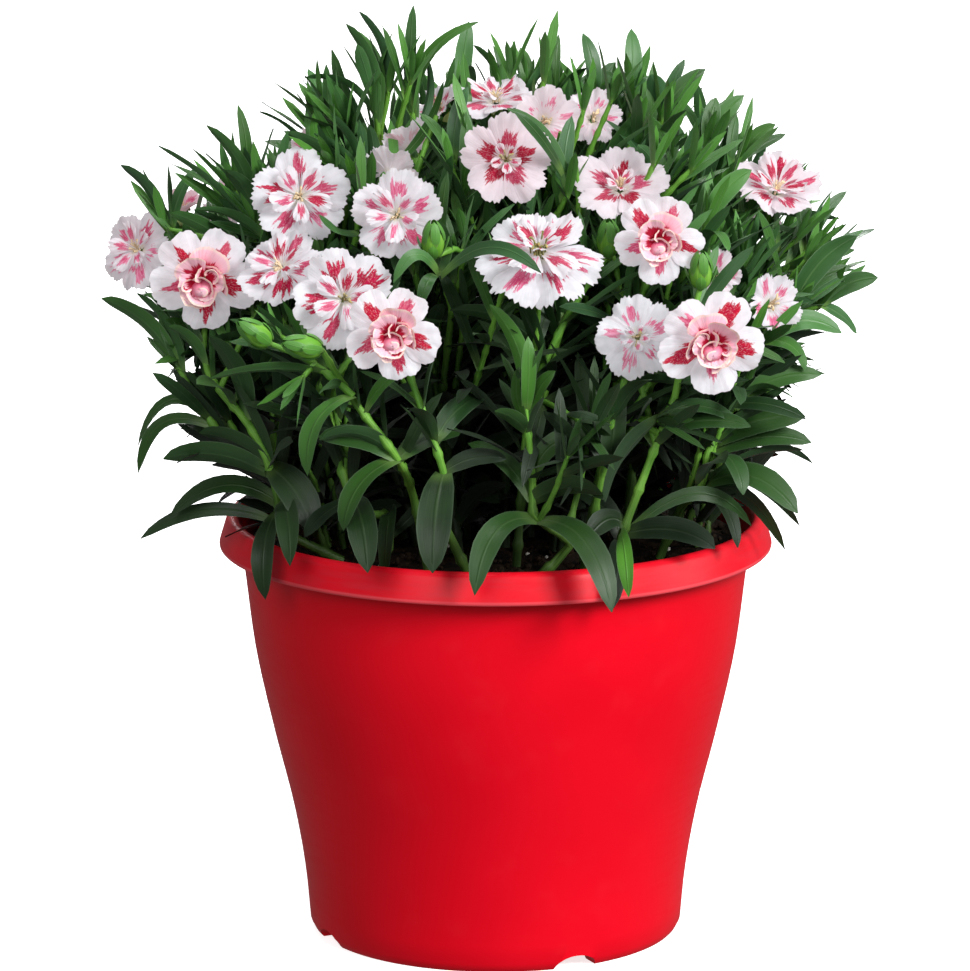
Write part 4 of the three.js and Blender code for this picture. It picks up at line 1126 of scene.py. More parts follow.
def drawn_leaf(joint, stalk, turn, spread, length, width, droop, roll=0.0):
    """A leaf that leaves its stalk by a spread, droops by an angle and rolls about its own length."""
    level = unit(np.cross(stalk, UP) + np.array([1e-6, 0, 0]))
    other = np.cross(stalk, level)
    aside = math.cos(turn) * level + math.sin(turn) * other
    out = math.cos(spread) * stalk + math.sin(spread) * aside
    bend = joint + out * length * 0.5
    end = unit(out * math.cos(droop) + math.sin(droop) * unit(aside * 0.4 - UP + out * out[2]))
    upper = unit(stalk - out * (out @ stalk) + 1e-6)
    upper = math.cos(roll) * upper + math.sin(roll) * np.cross(out, upper)
    return joint, bend, bend + end * length * 0.5, width, upper


def grown_pair(joint, stalk, turn, spread, length, width, droop, chance):
    leaves = []
    for side in (0, math.pi):
        size = chance.uniform(*SIZE_RANGE)
        for twist, lift, share in TRIES:
            leaf = drawn_leaf(
                joint, stalk, turn + side + math.radians(twist), spread + math.radians(lift),
                length * size * share, width * (0.6 + 0.4 * share),
                droop * chance.uniform(*DROOP_RANGE), chance.gauss(0, ROLL),
            )
            if has_room(*leaf[:4]):
                taken.update(cells(leaf_spots(*leaf[:3], 16)[5:]))
                leaves.append(leaf)
                break
    return leaves


def leafy_line(line, chance, first, last, gap, length, width, young):
    """Pairs of leaves up a line, smaller towards its end. Its first and last stretch stay bare."""
    lengths = run_lengths(line)
    at = first
    turn = chance.uniform(0, math.pi)
    leaves, joints = [], []
    while at < lengths[-1] - last:
        i = min(int(np.searchsorted(lengths, at)), len(line) - 2)
        share = at / lengths[-1]
        lift = min(1, max(0, (line[i][2] - UPRIGHT_FROM) / UPRIGHT_OVER))
        stalk = unit(unit(line[i + 1] - line[max(i - 1, 0)]) + UP * UPRIGHT * lift)
        spread = math.radians(chance.uniform(*PAIR_SPREAD) - CLOSING * share - CLOSING * lift)
        droop = math.radians(chance.uniform(*PAIR_DROOP) * (1 - 0.85 * share) * (1 - 0.6 * lift))
        size = chance.uniform(0.85, 1.15) * (1.2 - 0.5 * share * young)
        pair = grown_pair(line[i], stalk, turn, spread, length * size, width * size, droop, chance)
        leaves += [(leaf, share) for leaf in pair]
        joints.append(at)
        turn += math.pi / 2 + chance.uniform(-0.25, 0.25)
        at += gap * chance.uniform(0.85, 1.2) * (1.45 - 0.6 * share)
    return leaves, joints


chance = random.Random(12)
GROWN = {}
for name, lines in LINES.items():
    GROWN[name] = []
    for order, (line, _, end) in enumerate(lines):
        bare = (FORK_BARE if order else ROOT_BARE, BLOOM_BARE if isinstance(end, str) else TIP_BARE)
        GROWN[name].append(leafy_line(line, chance, *bare, **STALK_PAIRS))
print(sum(len(leaves) for grown in GROWN.values() for leaves, _ in grown), "leaves in pairs")

# %% [markdown]
# Between the named branches the plant is full of leafy side branches without blooms. Each leaves a
# stalk part of the way up and ends between that stalk's end and a neighbour's, a little lower, so
# that together they fill the dome without standing out of it. In front they may not run far sideways,
# because the stalks stand free there. Sprigs with a given tip come first, round the top of the plant.

# %% Side branches
SIDE_BRANCHES = 6
BRANCH_FORK = (0.25, 0.62)
NEIGHBOUR_REACH = (4, 75)
TIP_SHARE = (0.15, 0.85)
TIP_STRAY = 14
TIP_DROP = (-3, 26)
BRANCH_BOW = 0.1
TIP_LENGTH = 16
SHOOT_CLEARANCE = 6
CLEAR_FRONT = -50
CLEAR_RUN = 22
SPRIG_RISE = 4
SPRIGS = {
    "stem_top_right_back": [(25, -34, 327), (34, -30, 335), (45, -24, 338)],
    "stem_funnel": [(31, -44, 315), (76, -34, 313), (61, -42, 316)],
    "stem_top_right": [(56, -18, 326), (67, -10, 325), (81, -6, 316), (93, -6, 304)],
    "stem_top_front": [(-17, -44, 315), (-11, -26, 325)],
    "stem_frilled": [(-23, -12, 330)],
    "stem_tall_left": [(-59, -8, 324), (-49, 4, 338), (-68, 2, 327), (-33, 0, 342)],
    "stem_top": [(19, 0, 343), (6, 22, 340)],
    "stem_left_fans": [(-102, -12, 300), (-92, -18, 298), (-128, -6, 284)],
    "stem_far_right": [(106, 0, 294), (118, -8, 280)],
}
ENDS = [line[-1] for lines in LINES.values() for line, *_ in lines]
SHOOTS = {name: [] for name in STEMS}


def curved(start, middle, tip):
    return through([start, middle, tip], rows_for(np.linalg.norm(tip - start)))[0]


def side_branch(line, ends, chance):
    """A line from part of the way up a stalk to a spot between two ends."""
    start = line[int(len(line) * chance.uniform(*BRANCH_FORK))]
    least, most = NEIGHBOUR_REACH
    near = [end for end in ends if least < np.linalg.norm(end - line[-1]) < most]
    other = chance.choice(near) if near else line[-1]
    tip = line[-1] + chance.uniform(*TIP_SHARE) * (other - line[-1])
    stray = [chance.uniform(-TIP_STRAY, TIP_STRAY) for _ in range(2)]
    tip = tip + np.array([*stray, -chance.uniform(*TIP_DROP)])
    bow = UP * BRANCH_BOW * np.linalg.norm(tip - start) * chance.uniform(-1, 0.6)
    return curved(start, (start + tip) / 2 + bow, tip)


def sprig(line, tip):
    """A side branch that leaves a stalk half way up and ends at a given tip."""
    start = line[len(line) // 2]
    return curved(start, (start + tip) / 2 + UP * SPRIG_RISE, tip)


def shoot_has_room(line):
    """Whether the line and the young leaves at its end have room."""
    if not inside_the_crown(line[-1] + unit(line[-1] - line[-3]) * TIP_LENGTH):
        return False
    if line[0][1] < CLEAR_FRONT and abs(line[-1][0] - line[0][0]) > CLEAR_RUN:
        return False
    for spot in line[2:]:
        near = bloom_skin.find_nearest(Vector(spot))[3]
        if not off_the_pot(spot) or near < SHOOT_CLEARANCE or hides_a_bloom(spot):
            return False
    return not before_a_bloom(line[2:]) and not cells(line[3:]) & taken


def add_shoot(name, line, **pairs):
    SHOOTS[name].append((line, *leafy_line(line, chance, **pairs)))


def shoot_count():
    leaves = [leaves for shoots in SHOOTS.values() for _, leaves, _ in shoots]
    return f"{len(leaves)} side branches and shoots with {sum(map(len, leaves))} leaves"


for name, tips in SPRIGS.items():
    for tip in tips:
        nearest = min((line for line, *_ in LINES[name]), key=lambda line: math.dist(line[-1], tip))
        line = sprig(nearest, np.array(tip))
        taken |= cells(line[3:])
        add_shoot(name, line, **SPRIG_PAIRS)
for name, lines in LINES.items():
    for _ in range(SIDE_BRANCHES * len(lines)):
        line = side_branch(chance.choice(lines)[0], ENDS, chance)
        if shoot_has_room(line):
            taken |= cells(line[3:])
            add_shoot(name, line, **BRANCH_PAIRS)
print(shoot_count())

# %% [markdown]
# Short side shoots rise from the mix between the stems, as a well-kept plant branches low down. Each
# belongs to the stem that stands nearest to it. Those near the middle bear broader leaves, which fill
# the deep shade. None is rooted near the front, where the mix stays open and the stalks show. A few
# more stand at the left of the back, where the stems leave a gap.

# %% Side shoots
SIDE_SHOOTS = 170
SHOOT_SPREAD = 88
SHOOT_HEIGHT = (38, 105)
SHOOT_LEAN = (0.3, 0.9)
SHOOT_BOW = 0.06
FRONT_ROOTS = -28
DEEP = 66
DEEP_WIDTH = 8.5
OUTER_WIDTH = 6
DEEP_SHOOTS = [
    ("stem_far_left", (-60, 14), (-84, 18, 230)), ("stem_left_edge", (-66, -8), (-90, -8, 216)),
    ("stem_back_left", (-50, 34), (-72, 46, 232)), ("stem_left_edge", (-60, -20), (-70, -26, 206)),
    ("stem_back_left", (-62, 28), (-90, 36, 196)),
]
DEEP_ROWS = 16


def side_shoot(chance):
    """A line that leans outward, more so the farther out it is rooted."""
    radius = SHOOT_SPREAD * math.sqrt(chance.random())
    angle = chance.uniform(0, 2 * math.pi)
    root = np.array([radius * math.cos(angle), radius * math.sin(angle), SOIL_LEVEL + 1])
    lean = 0.25 + 0.75 * radius / SHOOT_SPREAD
    height = chance.uniform(*SHOOT_HEIGHT) * (1.15 - 0.45 * radius / SHOOT_SPREAD)
    out = np.array([math.cos(angle), math.sin(angle), 0])
    aside = np.array([-math.sin(angle), math.cos(angle), 0]) * chance.uniform(-0.3, 0.3)
    tip = root + UP * height + (out * lean * chance.uniform(*SHOOT_LEAN) + aside) * height * 0.8
    middle = (root + tip) / 2 + UP * height * SHOOT_BOW - out * height * SHOOT_BOW
    return root, through([root, middle, tip], rows_for(height))[0]


for _ in range(SIDE_SHOOTS):
    root, line = side_shoot(chance)
    if root[1] > FRONT_ROOTS and shoot_has_room(line):
        owner = min(STEMS, key=lambda name: math.dist(STEMS[name][0], root[:2]))
        taken |= cells(line)
        width = DEEP_WIDTH if math.hypot(root[0], root[1]) < DEEP else OUTER_WIDTH
        add_shoot(owner, line, width=width, **SHOOT_PAIRS)
for name, root, tip in DEEP_SHOOTS:
    root, tip = float_spots([(*root, SOIL_LEVEL + 1), tip])
    line = through([root, (root + tip) / 2 + UP * SPRIG_RISE, tip], DEEP_ROWS)[0]
    add_shoot(name, line, **DEEP_PAIRS)
print(shoot_count())

# %% [markdown]
# Each growing tip carries two pairs of small young leaves that stand nearly upright. They are pale and
# yellow-green, and hide the cut end of the stalk.


# %% Growing tips
TIP_PAIRS = [(26, 4.2, 20, 2.5), (17, 3.3, 10, 1)]
TIP_ARCH = 0.1


def growing_tip(line, chance):
    """Two pairs of a length, a width, a spread and a drop from the end, a quarter turn apart."""
    end = line[-1]
    stalk = unit(unit(line[-1] - line[-3]) + UP * UPRIGHT * (end[2] > UPRIGHT_FROM))
    turn = chance.uniform(0, math.pi)
    leaves = []
    for pair, (length, width, spread, drop) in enumerate(TIP_PAIRS):
        for side in (0, math.pi):
            leaf = drawn_leaf(
                end - stalk * drop, stalk, turn + side + pair * math.pi / 2,
                math.radians(spread * chance.uniform(0.8, 1.2)), length * chance.uniform(0.85, 1.15),
                width, TIP_ARCH,
            )
            if (leaf[2] < BOX_HIGH - BOX_MARGIN).all() and not any(map(hides_a_bloom, leaf[1:3])):
                leaves.append(leaf)
    return leaves


TIPS = {name: [] for name in STEMS}
for name, lines in LINES.items():
    leafy_ends = [line for line, _, end in lines if end is None] + [line for line, *_ in SHOOTS[name]]
    for line in leafy_ends:
        TIPS[name] += growing_tip(line, chance)
print(sum(len(tips) for tips in TIPS.values()), "young leaves at the tips")

# %% [markdown]
# The leaf finish is a waxy dark green. It reads the sheet for the pale midrib, the thin pale margin and
# the pale base that clasps the stalk, and the tone for the age of each leaf and for a painted shade,
# which darkens leaves deep in the bush and low down. A glaucous tint on some leaves shows only out of
# that shade, so it is partly a painted sheen. The under side is duller and bluer, and the bump draws
# fine lines along the leaf.


# %% Leaf finish
def waxy_leaf():
    finish = Finish("waxy_leaf", Specular_IOR_Level=0.4, Sheen_Weight=0.035, Sheen_Roughness=0.45)
    across, along = finish.sheet()
    young, shade, chance, upper = finish.tone()
    edge = abs(across - 0.5) * 2
    place = finish.place()
    patches = finish.cloud(place, 55, 3).step(0.3, 0.72)
    glaucous_and_sheen = finish.strands(chance * 90, chance * 31, 1, 0)
    lines = finish.strands(across * 26, along * 1.5, chance * 40)
    green = finish.coats(
        finish.mix(patches, "122D0B", "1F4412"),
        # a glaucous tint on some leaves, painted only where a leaf is out of the painted shade, so
        # partly a painted sheen
        (glaucous_and_sheen.step(0.4, 0.7) * (1 - shade) * 0.5, "45704C"),
        (young, "5A9A34"),
        (lines.step(0.45, 0.75) * 0.25, "3A6A2C"),
        ((1 - along.step(0.02, 0.22)) * 0.75, "7FA850"),
        ((1 - edge.step(0.03, 0.13)) * (1 - along) * 0.28, "7C9F62"),
        (edge.step(0.9, 0.99) * 0.35, "8BA583"),
        ((1 - upper) * (1 - young) * 0.5, "3C6040"),
        # painted shade: leaves deep in the bush and low down turn a near-black green
        (shade * 0.88, "071307"),
    )
    gloss = 0.3 + lines * 0.12 + patches * 0.08 + (1 - upper) * 0.12 + shade * 0.1
    height = lines * 0.5 + edge.step(0, 0.14)
    return finish.wear(Base_Color=green, Roughness=gloss, Normal=finish.bump(height, 0.35, 0.0005))


WAXY_LEAF = waxy_leaf()
print("waxy_leaf has", len(WAXY_LEAF.node_tree.nodes), "nodes")

# %% [markdown]
# Stalks, calyces and buds share a paler, smoother green with fine ribs along them. Near the mix and
# in the shade between the stems it is painted dark, a painted shade, and it is brighter on buds,
# which the tone says.


# %% Stalk finish
LOW_STALK_SHADE = (0.165, 0.22)
ROOT_SHADE = (0.175, 0.205)
DEEP_SHADE = (0.2, 0.3)
INNER_SQUARE = (0.002, 0.0052)


def smooth_stalk():
    finish = Finish("smooth_stalk", Specular_IOR_Level=0.35)
    across, along = finish.sheet()
    young, ribbed, chance, _ = finish.tone()
    place = finish.place()
    x, y, z = finish.apart(place)
    patches = finish.cloud(place, 90, 3).step(0.3, 0.7)
    ribs = finish.strands(across * 14, along * 1.2, chance * 30)
    inside = 1 - (x * x + y * y).step(*INNER_SQUARE)
    green = finish.coats(
        finish.mix(patches, "48842A", "6BA63C"),
        (young, "5E9A28"),
        # painted shade on the stalks low down near the mix
        ((1 - z.step(*LOW_STALK_SHADE)) * 0.6, "41591F"),
        (ribs.step(0.4, 0.7) * 0.35, "9CCC58"),
        (inside * (1 - z.step(*DEEP_SHADE)) * 0.9, "101E0B"),
        ((1 - z.step(*ROOT_SHADE)) * 0.65, "101E0B"),
        (ribbed * along.step(0.82, 1) * 0.5, "9A8A5A"),
    )
    relief = finish.bump(ribs, 0.3, 0.0006)
    return finish.wear(Base_Color=green, Roughness=0.45 + ribs * 0.15, Normal=relief)


SMOOTH_STALK = smooth_stalk()
print("smooth_stalk has", len(SMOOTH_STALK.node_tree.nodes), "nodes")

# %% [markdown]
# A stalk is a round blank pressed along its line. It swells at every joint, as a dianthus does, and
# thins towards its end.

# %% Stalk shape
ROOT_RADIUS = 1.9
FORK_RADIUS = 1.5
TOP_RADIUS = 1.15
SHOOT_RADII = (1.3, 0.9)
SHOOT_SIDES = 5
TUBE_ROW = 11
SWELL = 0.42
SWELL_REACH = 1.7
SWELL_ROWS = (-2.4, 0, 2.4)
STALK_TONE = (0.1, 0)
round_blanks = {}


def tube(sides, rows):
    if (sides, rows) not in round_blanks:
        round_blanks[sides, rows] = round_blank(sides, rows)
    return round_blanks[sides, rows]


def pressed_tube(line, radii):
    """A tube along a row of points with a radius at each, turned as little as it can be."""
    line = np.asarray(line)
    along = unit(np.gradient(line, axis=0))
    side = np.array([1.0, 0.0, 0.0])
    sides = []
    for direction in along:
        side = unit(side - direction * (side @ direction))
        sides.append(side)
    sides = np.array(sides)
    ups = np.cross(sides, along)

    def shape(x, y, z):
        row = np.rint(y * (len(line) - 1)).astype(int)
        radius = np.asarray(radii)[row, None]
        return line[row] + (sides[row] * x[:, None] + ups[row] * z[:, None]) * radius
    return shape


def press_stalk(piece, line, joints, thick, thin, chance, sides=6):
    """A tube with a row every few millimetres, and three rows round each joint for its swelling."""
    lengths = run_lengths(line)
    swollen = [at + off for at in joints for off in SWELL_ROWS if 0 < at + off < lengths[-1]]
    places = sorted({*np.arange(0, lengths[-1], TUBE_ROW), lengths[-1], *swollen})
    radii = np.interp(places, (0, lengths[-1]), (thick, thin))
    for at in joints:
        radii = radii * (1 + SWELL * np.exp(-((np.array(places) - at) / SWELL_REACH) ** 2))
    shape = pressed_tube(spots_at(line, lengths, places), radii)
    piece.press(tube(sides, len(places) - 1), shape, (*STALK_TONE, chance.random()), 1)


# %% [markdown]
# The calyx is a green tube of joined sepals that ends in five short teeth, with two pairs of bracts
# round its foot. A bud is the same calyx, shut over the furled petals, in broader bracts. A sepal or a
# bract is a small leaf with a start, a length, a width and three distances from the axis of the tube.

# %% Calyces and buds
CUP_SIDES = 12
SEPALS = 5
BRACTS = 4
BRACT_START = -0.5
CALYX = {
    "places": [0, 1.2, 3, 6, 10, 13.5, 15.2], "radii": [1.2, 1.9, 2.45, 2.8, 2.95, 3.0, 2.9],
    "sepal": (12.6, 4.6, 2.9, 2.75, 3.6, 3.65), "turn": 0.4,
    "bracts": [(13, 3.4, 1.5, 4, 4.1), (10, 3.4, 1.5, 4, 4.1)],
    "tones": [(0.35, 1), (0.45, 0), (0.3, 0)],
}
BUD = {
    "places": [0, 1, 2.8, 5.4, 8, 10.6, 12.8, 14.2], "radii": [1.2, 2.8, 4.0, 4.5, 4.4, 3.6, 2.2, 0.9],
    "sepal": (6.5, 9.5, 3.8, 4.2, 4.9, 1.2), "turn": 0,
    "bracts": [(10, 4, 1.6, 5.8, 6.2), (8, 4, 1.6, 5.8, 4.9)],
    "tones": [(0.85, 0), (0.75, 0), (0.85, 0)],
}


def hugging_leaf(base, facing, angle, start, length, width, near, bulge, flare):
    """A small leaf that hugs a tube: how far from the axis its root, its middle and its tip stand."""
    right = unit(np.cross(UP, facing) + np.array([1e-6, 0, 0]))
    out = math.cos(angle) * right + math.sin(angle) * np.cross(facing, right)
    root = base + facing * start + out * near
    bend = base + facing * (start + length * 0.55) + out * bulge
    tip = base + facing * (start + length) + out * flare
    return root, bend, tip, width, -out


def press_cup(piece, base, facing, cup, chance):
    """A calyx or a bud: a tube, five pointed sepals at its end and two pairs of bracts at its foot."""
    tube_tone, sepal_tone, bract_tone = cup["tones"]
    shape = pressed_tube(base + np.outer(cup["places"], facing), cup["radii"])
    piece.press(tube(CUP_SIDES, len(cup["places"]) - 1), shape, (*tube_tone, chance.random()), 1)
    leaves = [(2 * math.pi * k / SEPALS, *cup["sepal"], sepal_tone) for k in range(SEPALS)]
    for k in range(BRACTS):
        angle = math.pi * k / 2 + cup["turn"]
        leaves.append((angle, BRACT_START, *cup["bracts"][k % 2], bract_tone))
    for *leaf, tone in leaves:
        leaf = hugging_leaf(base, facing, *leaf)
        piece.press(SMALL_LEAF_BLANK, pressed_leaf(*leaf), (*tone, chance.random()))


# %% [markdown]
# Now every stem can be put together: its stalks, the leaves of the model on a fine blank, the added
# pairs, the side shoots that stand beside it, and its calyces and buds. Low on the plant the leaves
# are broader. A leaf inside the bush is darkened by a painted shade, and the leaves of some stems in
# front are painted fresher and paler than the rest, a painted light, though less so near the pot. A
# few leaves hang over the lip, painted dark with shade, and one of them is young.


# %% Leafy stems
DOME_CENTRE = np.array([-2.0, 2.0, 165.0])
DOME_RADII = np.array([150.0, 135.0, 180.0])
DOME_SHADE = (1.9, 0.86)
LIT_HEIGHT = 280
SHADE_DEPTH = 82
OPEN_SIDE = 30
TURN_OUT = 0.9
SNAP_REACH = 7
BROADER = [(210, 1.22), (240, 1), (290, 0.95), (310, 0.82)]
PAIR_WAVE = 0.3
MODEL_WAVE = 0.25
STALK_YOUNG = 0.08
SHOOT_YOUNG = 0.05
TIP_YOUNG = 0.55
MODEL_FRESH = 0.16
MODEL_SHADE = 0.72
# the leaves of these stems in front are painted fresher and paler than the rest, a painted light;
# LOW_FRESH takes much of it away near the pot
FRESH_AND_LIT = {
    "stem_front": 0.7, "stem_rosette_left": 0.4, "stem_left_edge": 0.32, "stem_front_left": 0.4,
    "stem_low_right": 0.42, "stem_pale_lower": 0.3, "stem_long_right": 0.3,
}
LIP_LEAVES = {
    "stem_left_of_middle": [((-39, -66, 183), (-42, -85, 194), (-43, -79, 158.5), 7.5, 0.1)],
    "stem_rosette_left": [((-86, -57, 178), (-114, -51, 189), (-139, -45, 168), 6, 0.1)],
    "stem_low_right": [
        ((77, -53, 188), (98, -50, 198), (113, -46, 164), 6, 0.1),
        ((80, -54, 196), (104, -46, 197), (119, -40, 172), 4.5, 0.05),
        ((82, -55, 204), (108, -46, 213), (124, -40, 197), 3.2, 0.05),
    ],
    "stem_rosette_lower_right": [
        ((48, -84, 180), (49, -113, 184), (50.5, -113, 161), 7.5, 1),
        ((49, -70, 174), (80, -70, 207), (99, -66, 178), 6, 0.2),
    ],
}
LIP_LEAF_UPPER = np.array([-0.5, -0.8, 0.3])
LOW_FRESH = [(180, 0.25), (215, 1)]
BUD_WAYS = {(-66, -108, 256): (-1, -0.3, 0.25), (-86, -96, 256): (-0.8, -0.3, 0.65)}
BUD_WAY = (0, -0.35, 1)


def snapped(leaf, lines):
    """The same leaf with its root on the nearest stalk."""
    spots = np.concatenate([line for line, *_ in lines])
    away = np.linalg.norm(spots - leaf[0], axis=1)
    near = spots[np.argmin(away)] if away.min() <= SNAP_REACH else leaf[0]
    return near, *leaf[1:]


def turned_out(leaf):
    """The same leaf with its blade turned a little towards the open side of the plant."""
    root, bend, tip, width, upper = leaf
    along = unit(tip - root)
    out = unit(np.array([bend[0] * 0.012, -1 if bend[1] < OPEN_SIDE else 1, 0.15]))
    out = unit(out - along * (along @ out))
    return root, bend, tip, width, unit(upper + TURN_OUT * math.copysign(1, upper @ out) * out)


def leaf_tone(leaf, chance, young, share=1.0):
    """How young, how deep in the bush and how odd a leaf is; a lit one takes a share of the shade."""
    middle = leaf[1]
    strength, edge = DOME_SHADE
    reach = np.linalg.norm((middle - DOME_CENTRE) / DOME_RADII)
    shade = strength * (edge - reach) + max(0, (LIT_HEIGHT - middle[2]) / SHADE_DEPTH)
    shade = min(1, max(0, shade * share + chance.uniform(-0.15, 0.15)))
    young = min(1, max(0, young + chance.uniform(-0.12, 0.16)))
    return young * (1 - 0.6 * shade), shade, chance.random()


def press_pairs(piece, leaves, young, chance):
    for leaf, share in leaves:
        tone = leaf_tone(leaf, chance, young + 0.2 * share)
        piece.press(SMALL_LEAF_BLANK, pressed_leaf(*leaf, PAIR_WAVE), tone)


def press_model_leaves(piece, name, chance):
    for leaf in MODEL_LEAVES[name]:
        root, bend, tip, width, upper = turned_out(snapped(leaf, LINES[name]))
        leaf = (root, bend, tip, width * np.interp(bend[2], *zip(*BROADER)), upper)
        fresh = FRESH_AND_LIT.get(name, MODEL_FRESH) * np.interp(bend[2], *zip(*LOW_FRESH))
        tone = leaf_tone(leaf, chance, fresh, MODEL_SHADE)
        piece.press(LEAF_BLANK, pressed_leaf(*leaf, MODEL_WAVE), tone)
    for *spots, width, young in LIP_LEAVES.get(name, []):
        leaf = (*float_spots(spots), width, LIP_LEAF_UPPER)
        # painted shade on the leaves over the lip, all but the young one
        piece.press(LEAF_BLANK, pressed_leaf(*leaf), (young, 0.8 * (1 - young), chance.random()))


def press_stem(name):
    piece = Piece("foliage_" + name.removeprefix("stem_"))
    chance = random.Random(name)
    for order, ((line, _, end), (leaves, joints)) in enumerate(zip(LINES[name], GROWN[name])):
        press_stalk(piece, line, joints, FORK_RADIUS if order else ROOT_RADIUS, TOP_RADIUS, chance)
        if isinstance(end, str):
            press_cup(piece, line[-1], way(*BLOOMS[end][1:3]), CALYX, chance)
        elif end:
            bud_way = np.array(BUD_WAYS.get(end, BUD_WAY), dtype=float)
            press_cup(piece, line[-1], unit(bud_way), BUD, chance)
        press_pairs(piece, leaves, STALK_YOUNG, chance)
    press_model_leaves(piece, name, chance)
    for line, leaves, joints in SHOOTS[name]:
        press_stalk(piece, line, joints, *SHOOT_RADII, chance, SHOOT_SIDES)
        press_pairs(piece, leaves, SHOOT_YOUNG, chance)
    for leaf in TIPS[name]:
        piece.press(TIP_LEAF_BLANK, pressed_leaf(*leaf), leaf_tone(leaf, chance, TIP_YOUNG))
    return piece.finish("foliage", name, WAXY_LEAF, SMOOTH_STALK)


print("stems:", sum(press_stem(name) for name in STEMS), "faces")

# %% [markdown]
# Petal colour follows the petal itself. On a star the white petal bears a crimson flame that starts
# outside the pale throat and breaks into streaks near the rim. Distances to the edges of the flame are
# summed with noise drawn out along the petal, and a soft step turns the sum into feathered paint.


# %% Petal finishes
THIN_PETAL = {
    "Subsurface_Weight": 0.3, "Subsurface_Radius": (0.005, 0.003, 0.003), "Subsurface_Scale": 0.4,
}
THICK_PETAL = {"Subsurface_Weight": 0.12, "Subsurface_Scale": 0.002}
# dim darkens each petal's base colour, and glow makes the petal shine in its own colour: a painted glow
# that lifts petals in shade
STAR_FLAME = {"narrowing": 0.5, "wild": 0.85, "crimson": "C8164A", "dim": 0.37, "painted_glow": 0.26}


def petal_paint(name, start, end, width, narrowing, wild, crimson, dim, painted_glow):
    """A white petal with a flame from start to end, which ends sooner towards the petal's edges."""
    # the emission is a painted glow
    finish = Finish(name, Specular_IOR_Level=0.15, Emission_Strength=painted_glow, **THIN_PETAL)
    across, along = finish.sheet()
    strength, blush, chance, upper = finish.tone()
    edge = abs(across - 0.5) * 2
    streaks = finish.strands(across * 17, along * 2.2, chance * 60, 3)
    tongues = finish.strands(across * 5, along * 0.5, chance * 90 + 7, 1)
    veins = finish.strands(across * 44, along * 1.1, chance * 20)
    specks = finish.strands(across * 50, along * 22, chance * 40)
    outer = end - edge * narrowing + (tongues - 0.5) * wild
    inside = (along - start).least(outer - along).least((width - edge) * 0.6)
    flame = inside + (streaks - 0.5) * wild + (specks - 0.5) * 0.22 + (strength - 1) * 0.14
    flame = flame.step(-0.02, 0.05) * (upper * 0.6 + 0.4) * strength.step(0.02, 0.3)
    dark = streaks.step(0.4, 0.7)
    weak = finish.mix(dark, "D04474", "EA8EAE")
    paint = finish.mix(strength.step(0.55, 0.95), weak, finish.mix(dark, "A60530", crimson))
    petal = finish.coats(
        finish.mix(finish.cloud(finish.place(), 260, 2).step(0.3, 0.7), "D9D7DC", "E6E2E8"),
        (blush * (1 - along * 0.35), "EFB9C6"),
        (veins.step(0.5, 0.75) * 0.12, "D9A6B6"),
        ((1 - along.step(0.04, 0.26)) * 0.5, "E4DDBE"),
        ((1 - upper) * 0.35, "E5D8DE"),
        (flame * (1 - specks.step(0.52, 0.66) * 0.25), paint),
    )
    return finish.wear(
        Base_Color=finish.mix(dim, petal, "000000"), Emission_Color=petal,
        Roughness=0.62 + veins * 0.15,
        Normal=finish.bump(veins * 0.6 + streaks * 0.4, 0.35, 0.0006),
    )


def shell_paint():
    """The inner petals of a rosette: crimson at the foot, pink, and cream along the rim."""
    # the emission is a painted glow, which lifts the inner petals in shade
    finish = Finish("rosette_shell", Specular_IOR_Level=0.15, Emission_Strength=0.12, **THICK_PETAL)
    across, along = finish.sheet()
    depth, cream, chance, upper = finish.tone()
    veins = finish.strands(across * 30, along * 1.5, chance * 30, 3)
    tongues = finish.strands(across * 9, along * 0.6, chance * 50, 1)
    crimson = (depth * 1.08 - along + (tongues - 0.5) * 0.5 + (veins - 0.5) * 0.3).step(-0.06, 0.08)
    rim = (along + (tongues - 0.5) * 0.06).step(0.88, 0.95)
    petal = finish.coats(
        finish.mix(along.step(0.2, 0.8), "D25E7E", "F1BECC"),
        (crimson * (0.25 + upper * 0.75), "A80F2E"),
        (veins.step(0.45, 0.75) * 0.2, "C9566F"),
        (rim * cream * 0.85, "F5DACB"),
    )
    return finish.wear(
        Base_Color=petal, Emission_Color=petal, Roughness=0.6 + veins * 0.15,
        Normal=finish.bump(veins, 0.35, 0.0006),
    )


def heart_finish():
    """The styles and stamens of a star: beige to green, with a waxy look."""
    finish = Finish("styles", Specular_IOR_Level=0.3)
    _, along = finish.sheet()
    green, pink, *_ = finish.tone()
    grain = finish.cloud(finish.place(), 1500, 2)
    base = finish.coats(
        finish.mix(grain, "CDB489", "E6D6B4"),
        (green, finish.mix(grain, "3E5510", "8C9A38")),
        (pink, "EFC3CB"),
        (along.step(0.8, 0.98) * 0.6, "D9B86A"),
    )
    relief = finish.bump(grain, 0.3, 0.0003)
    return finish.wear(Base_Color=base, Roughness=0.5 + grain * 0.2, Normal=relief)


STAR_OUTER = petal_paint("star_petal", 0.28, 0.8, 0.7, **STAR_FLAME)
STAR_INNER = petal_paint("star_inner_petal", 0.22, 0.84, 0.75, **STAR_FLAME)
STAR_BRIGHT = petal_paint("star_bright_petal", 0.16, 0.62, 1.0, 0.3, 0.5, "AC0A2E", 0.42, 0.24)
ROSETTE_OUTER = petal_paint("rosette_petal", 0.2, 0.88, 0.85, 0.85, 0.6, "BC1030", 0.28, 0.34)
ROSETTE_SHELL = shell_paint()
STYLES = heart_finish()
PETAL_FINISHES = (STAR_OUTER, STAR_INNER, STAR_BRIGHT, ROSETTE_OUTER, ROSETTE_SHELL, STYLES)
print("petal finishes:", *(finish.name for finish in PETAL_FINISHES))

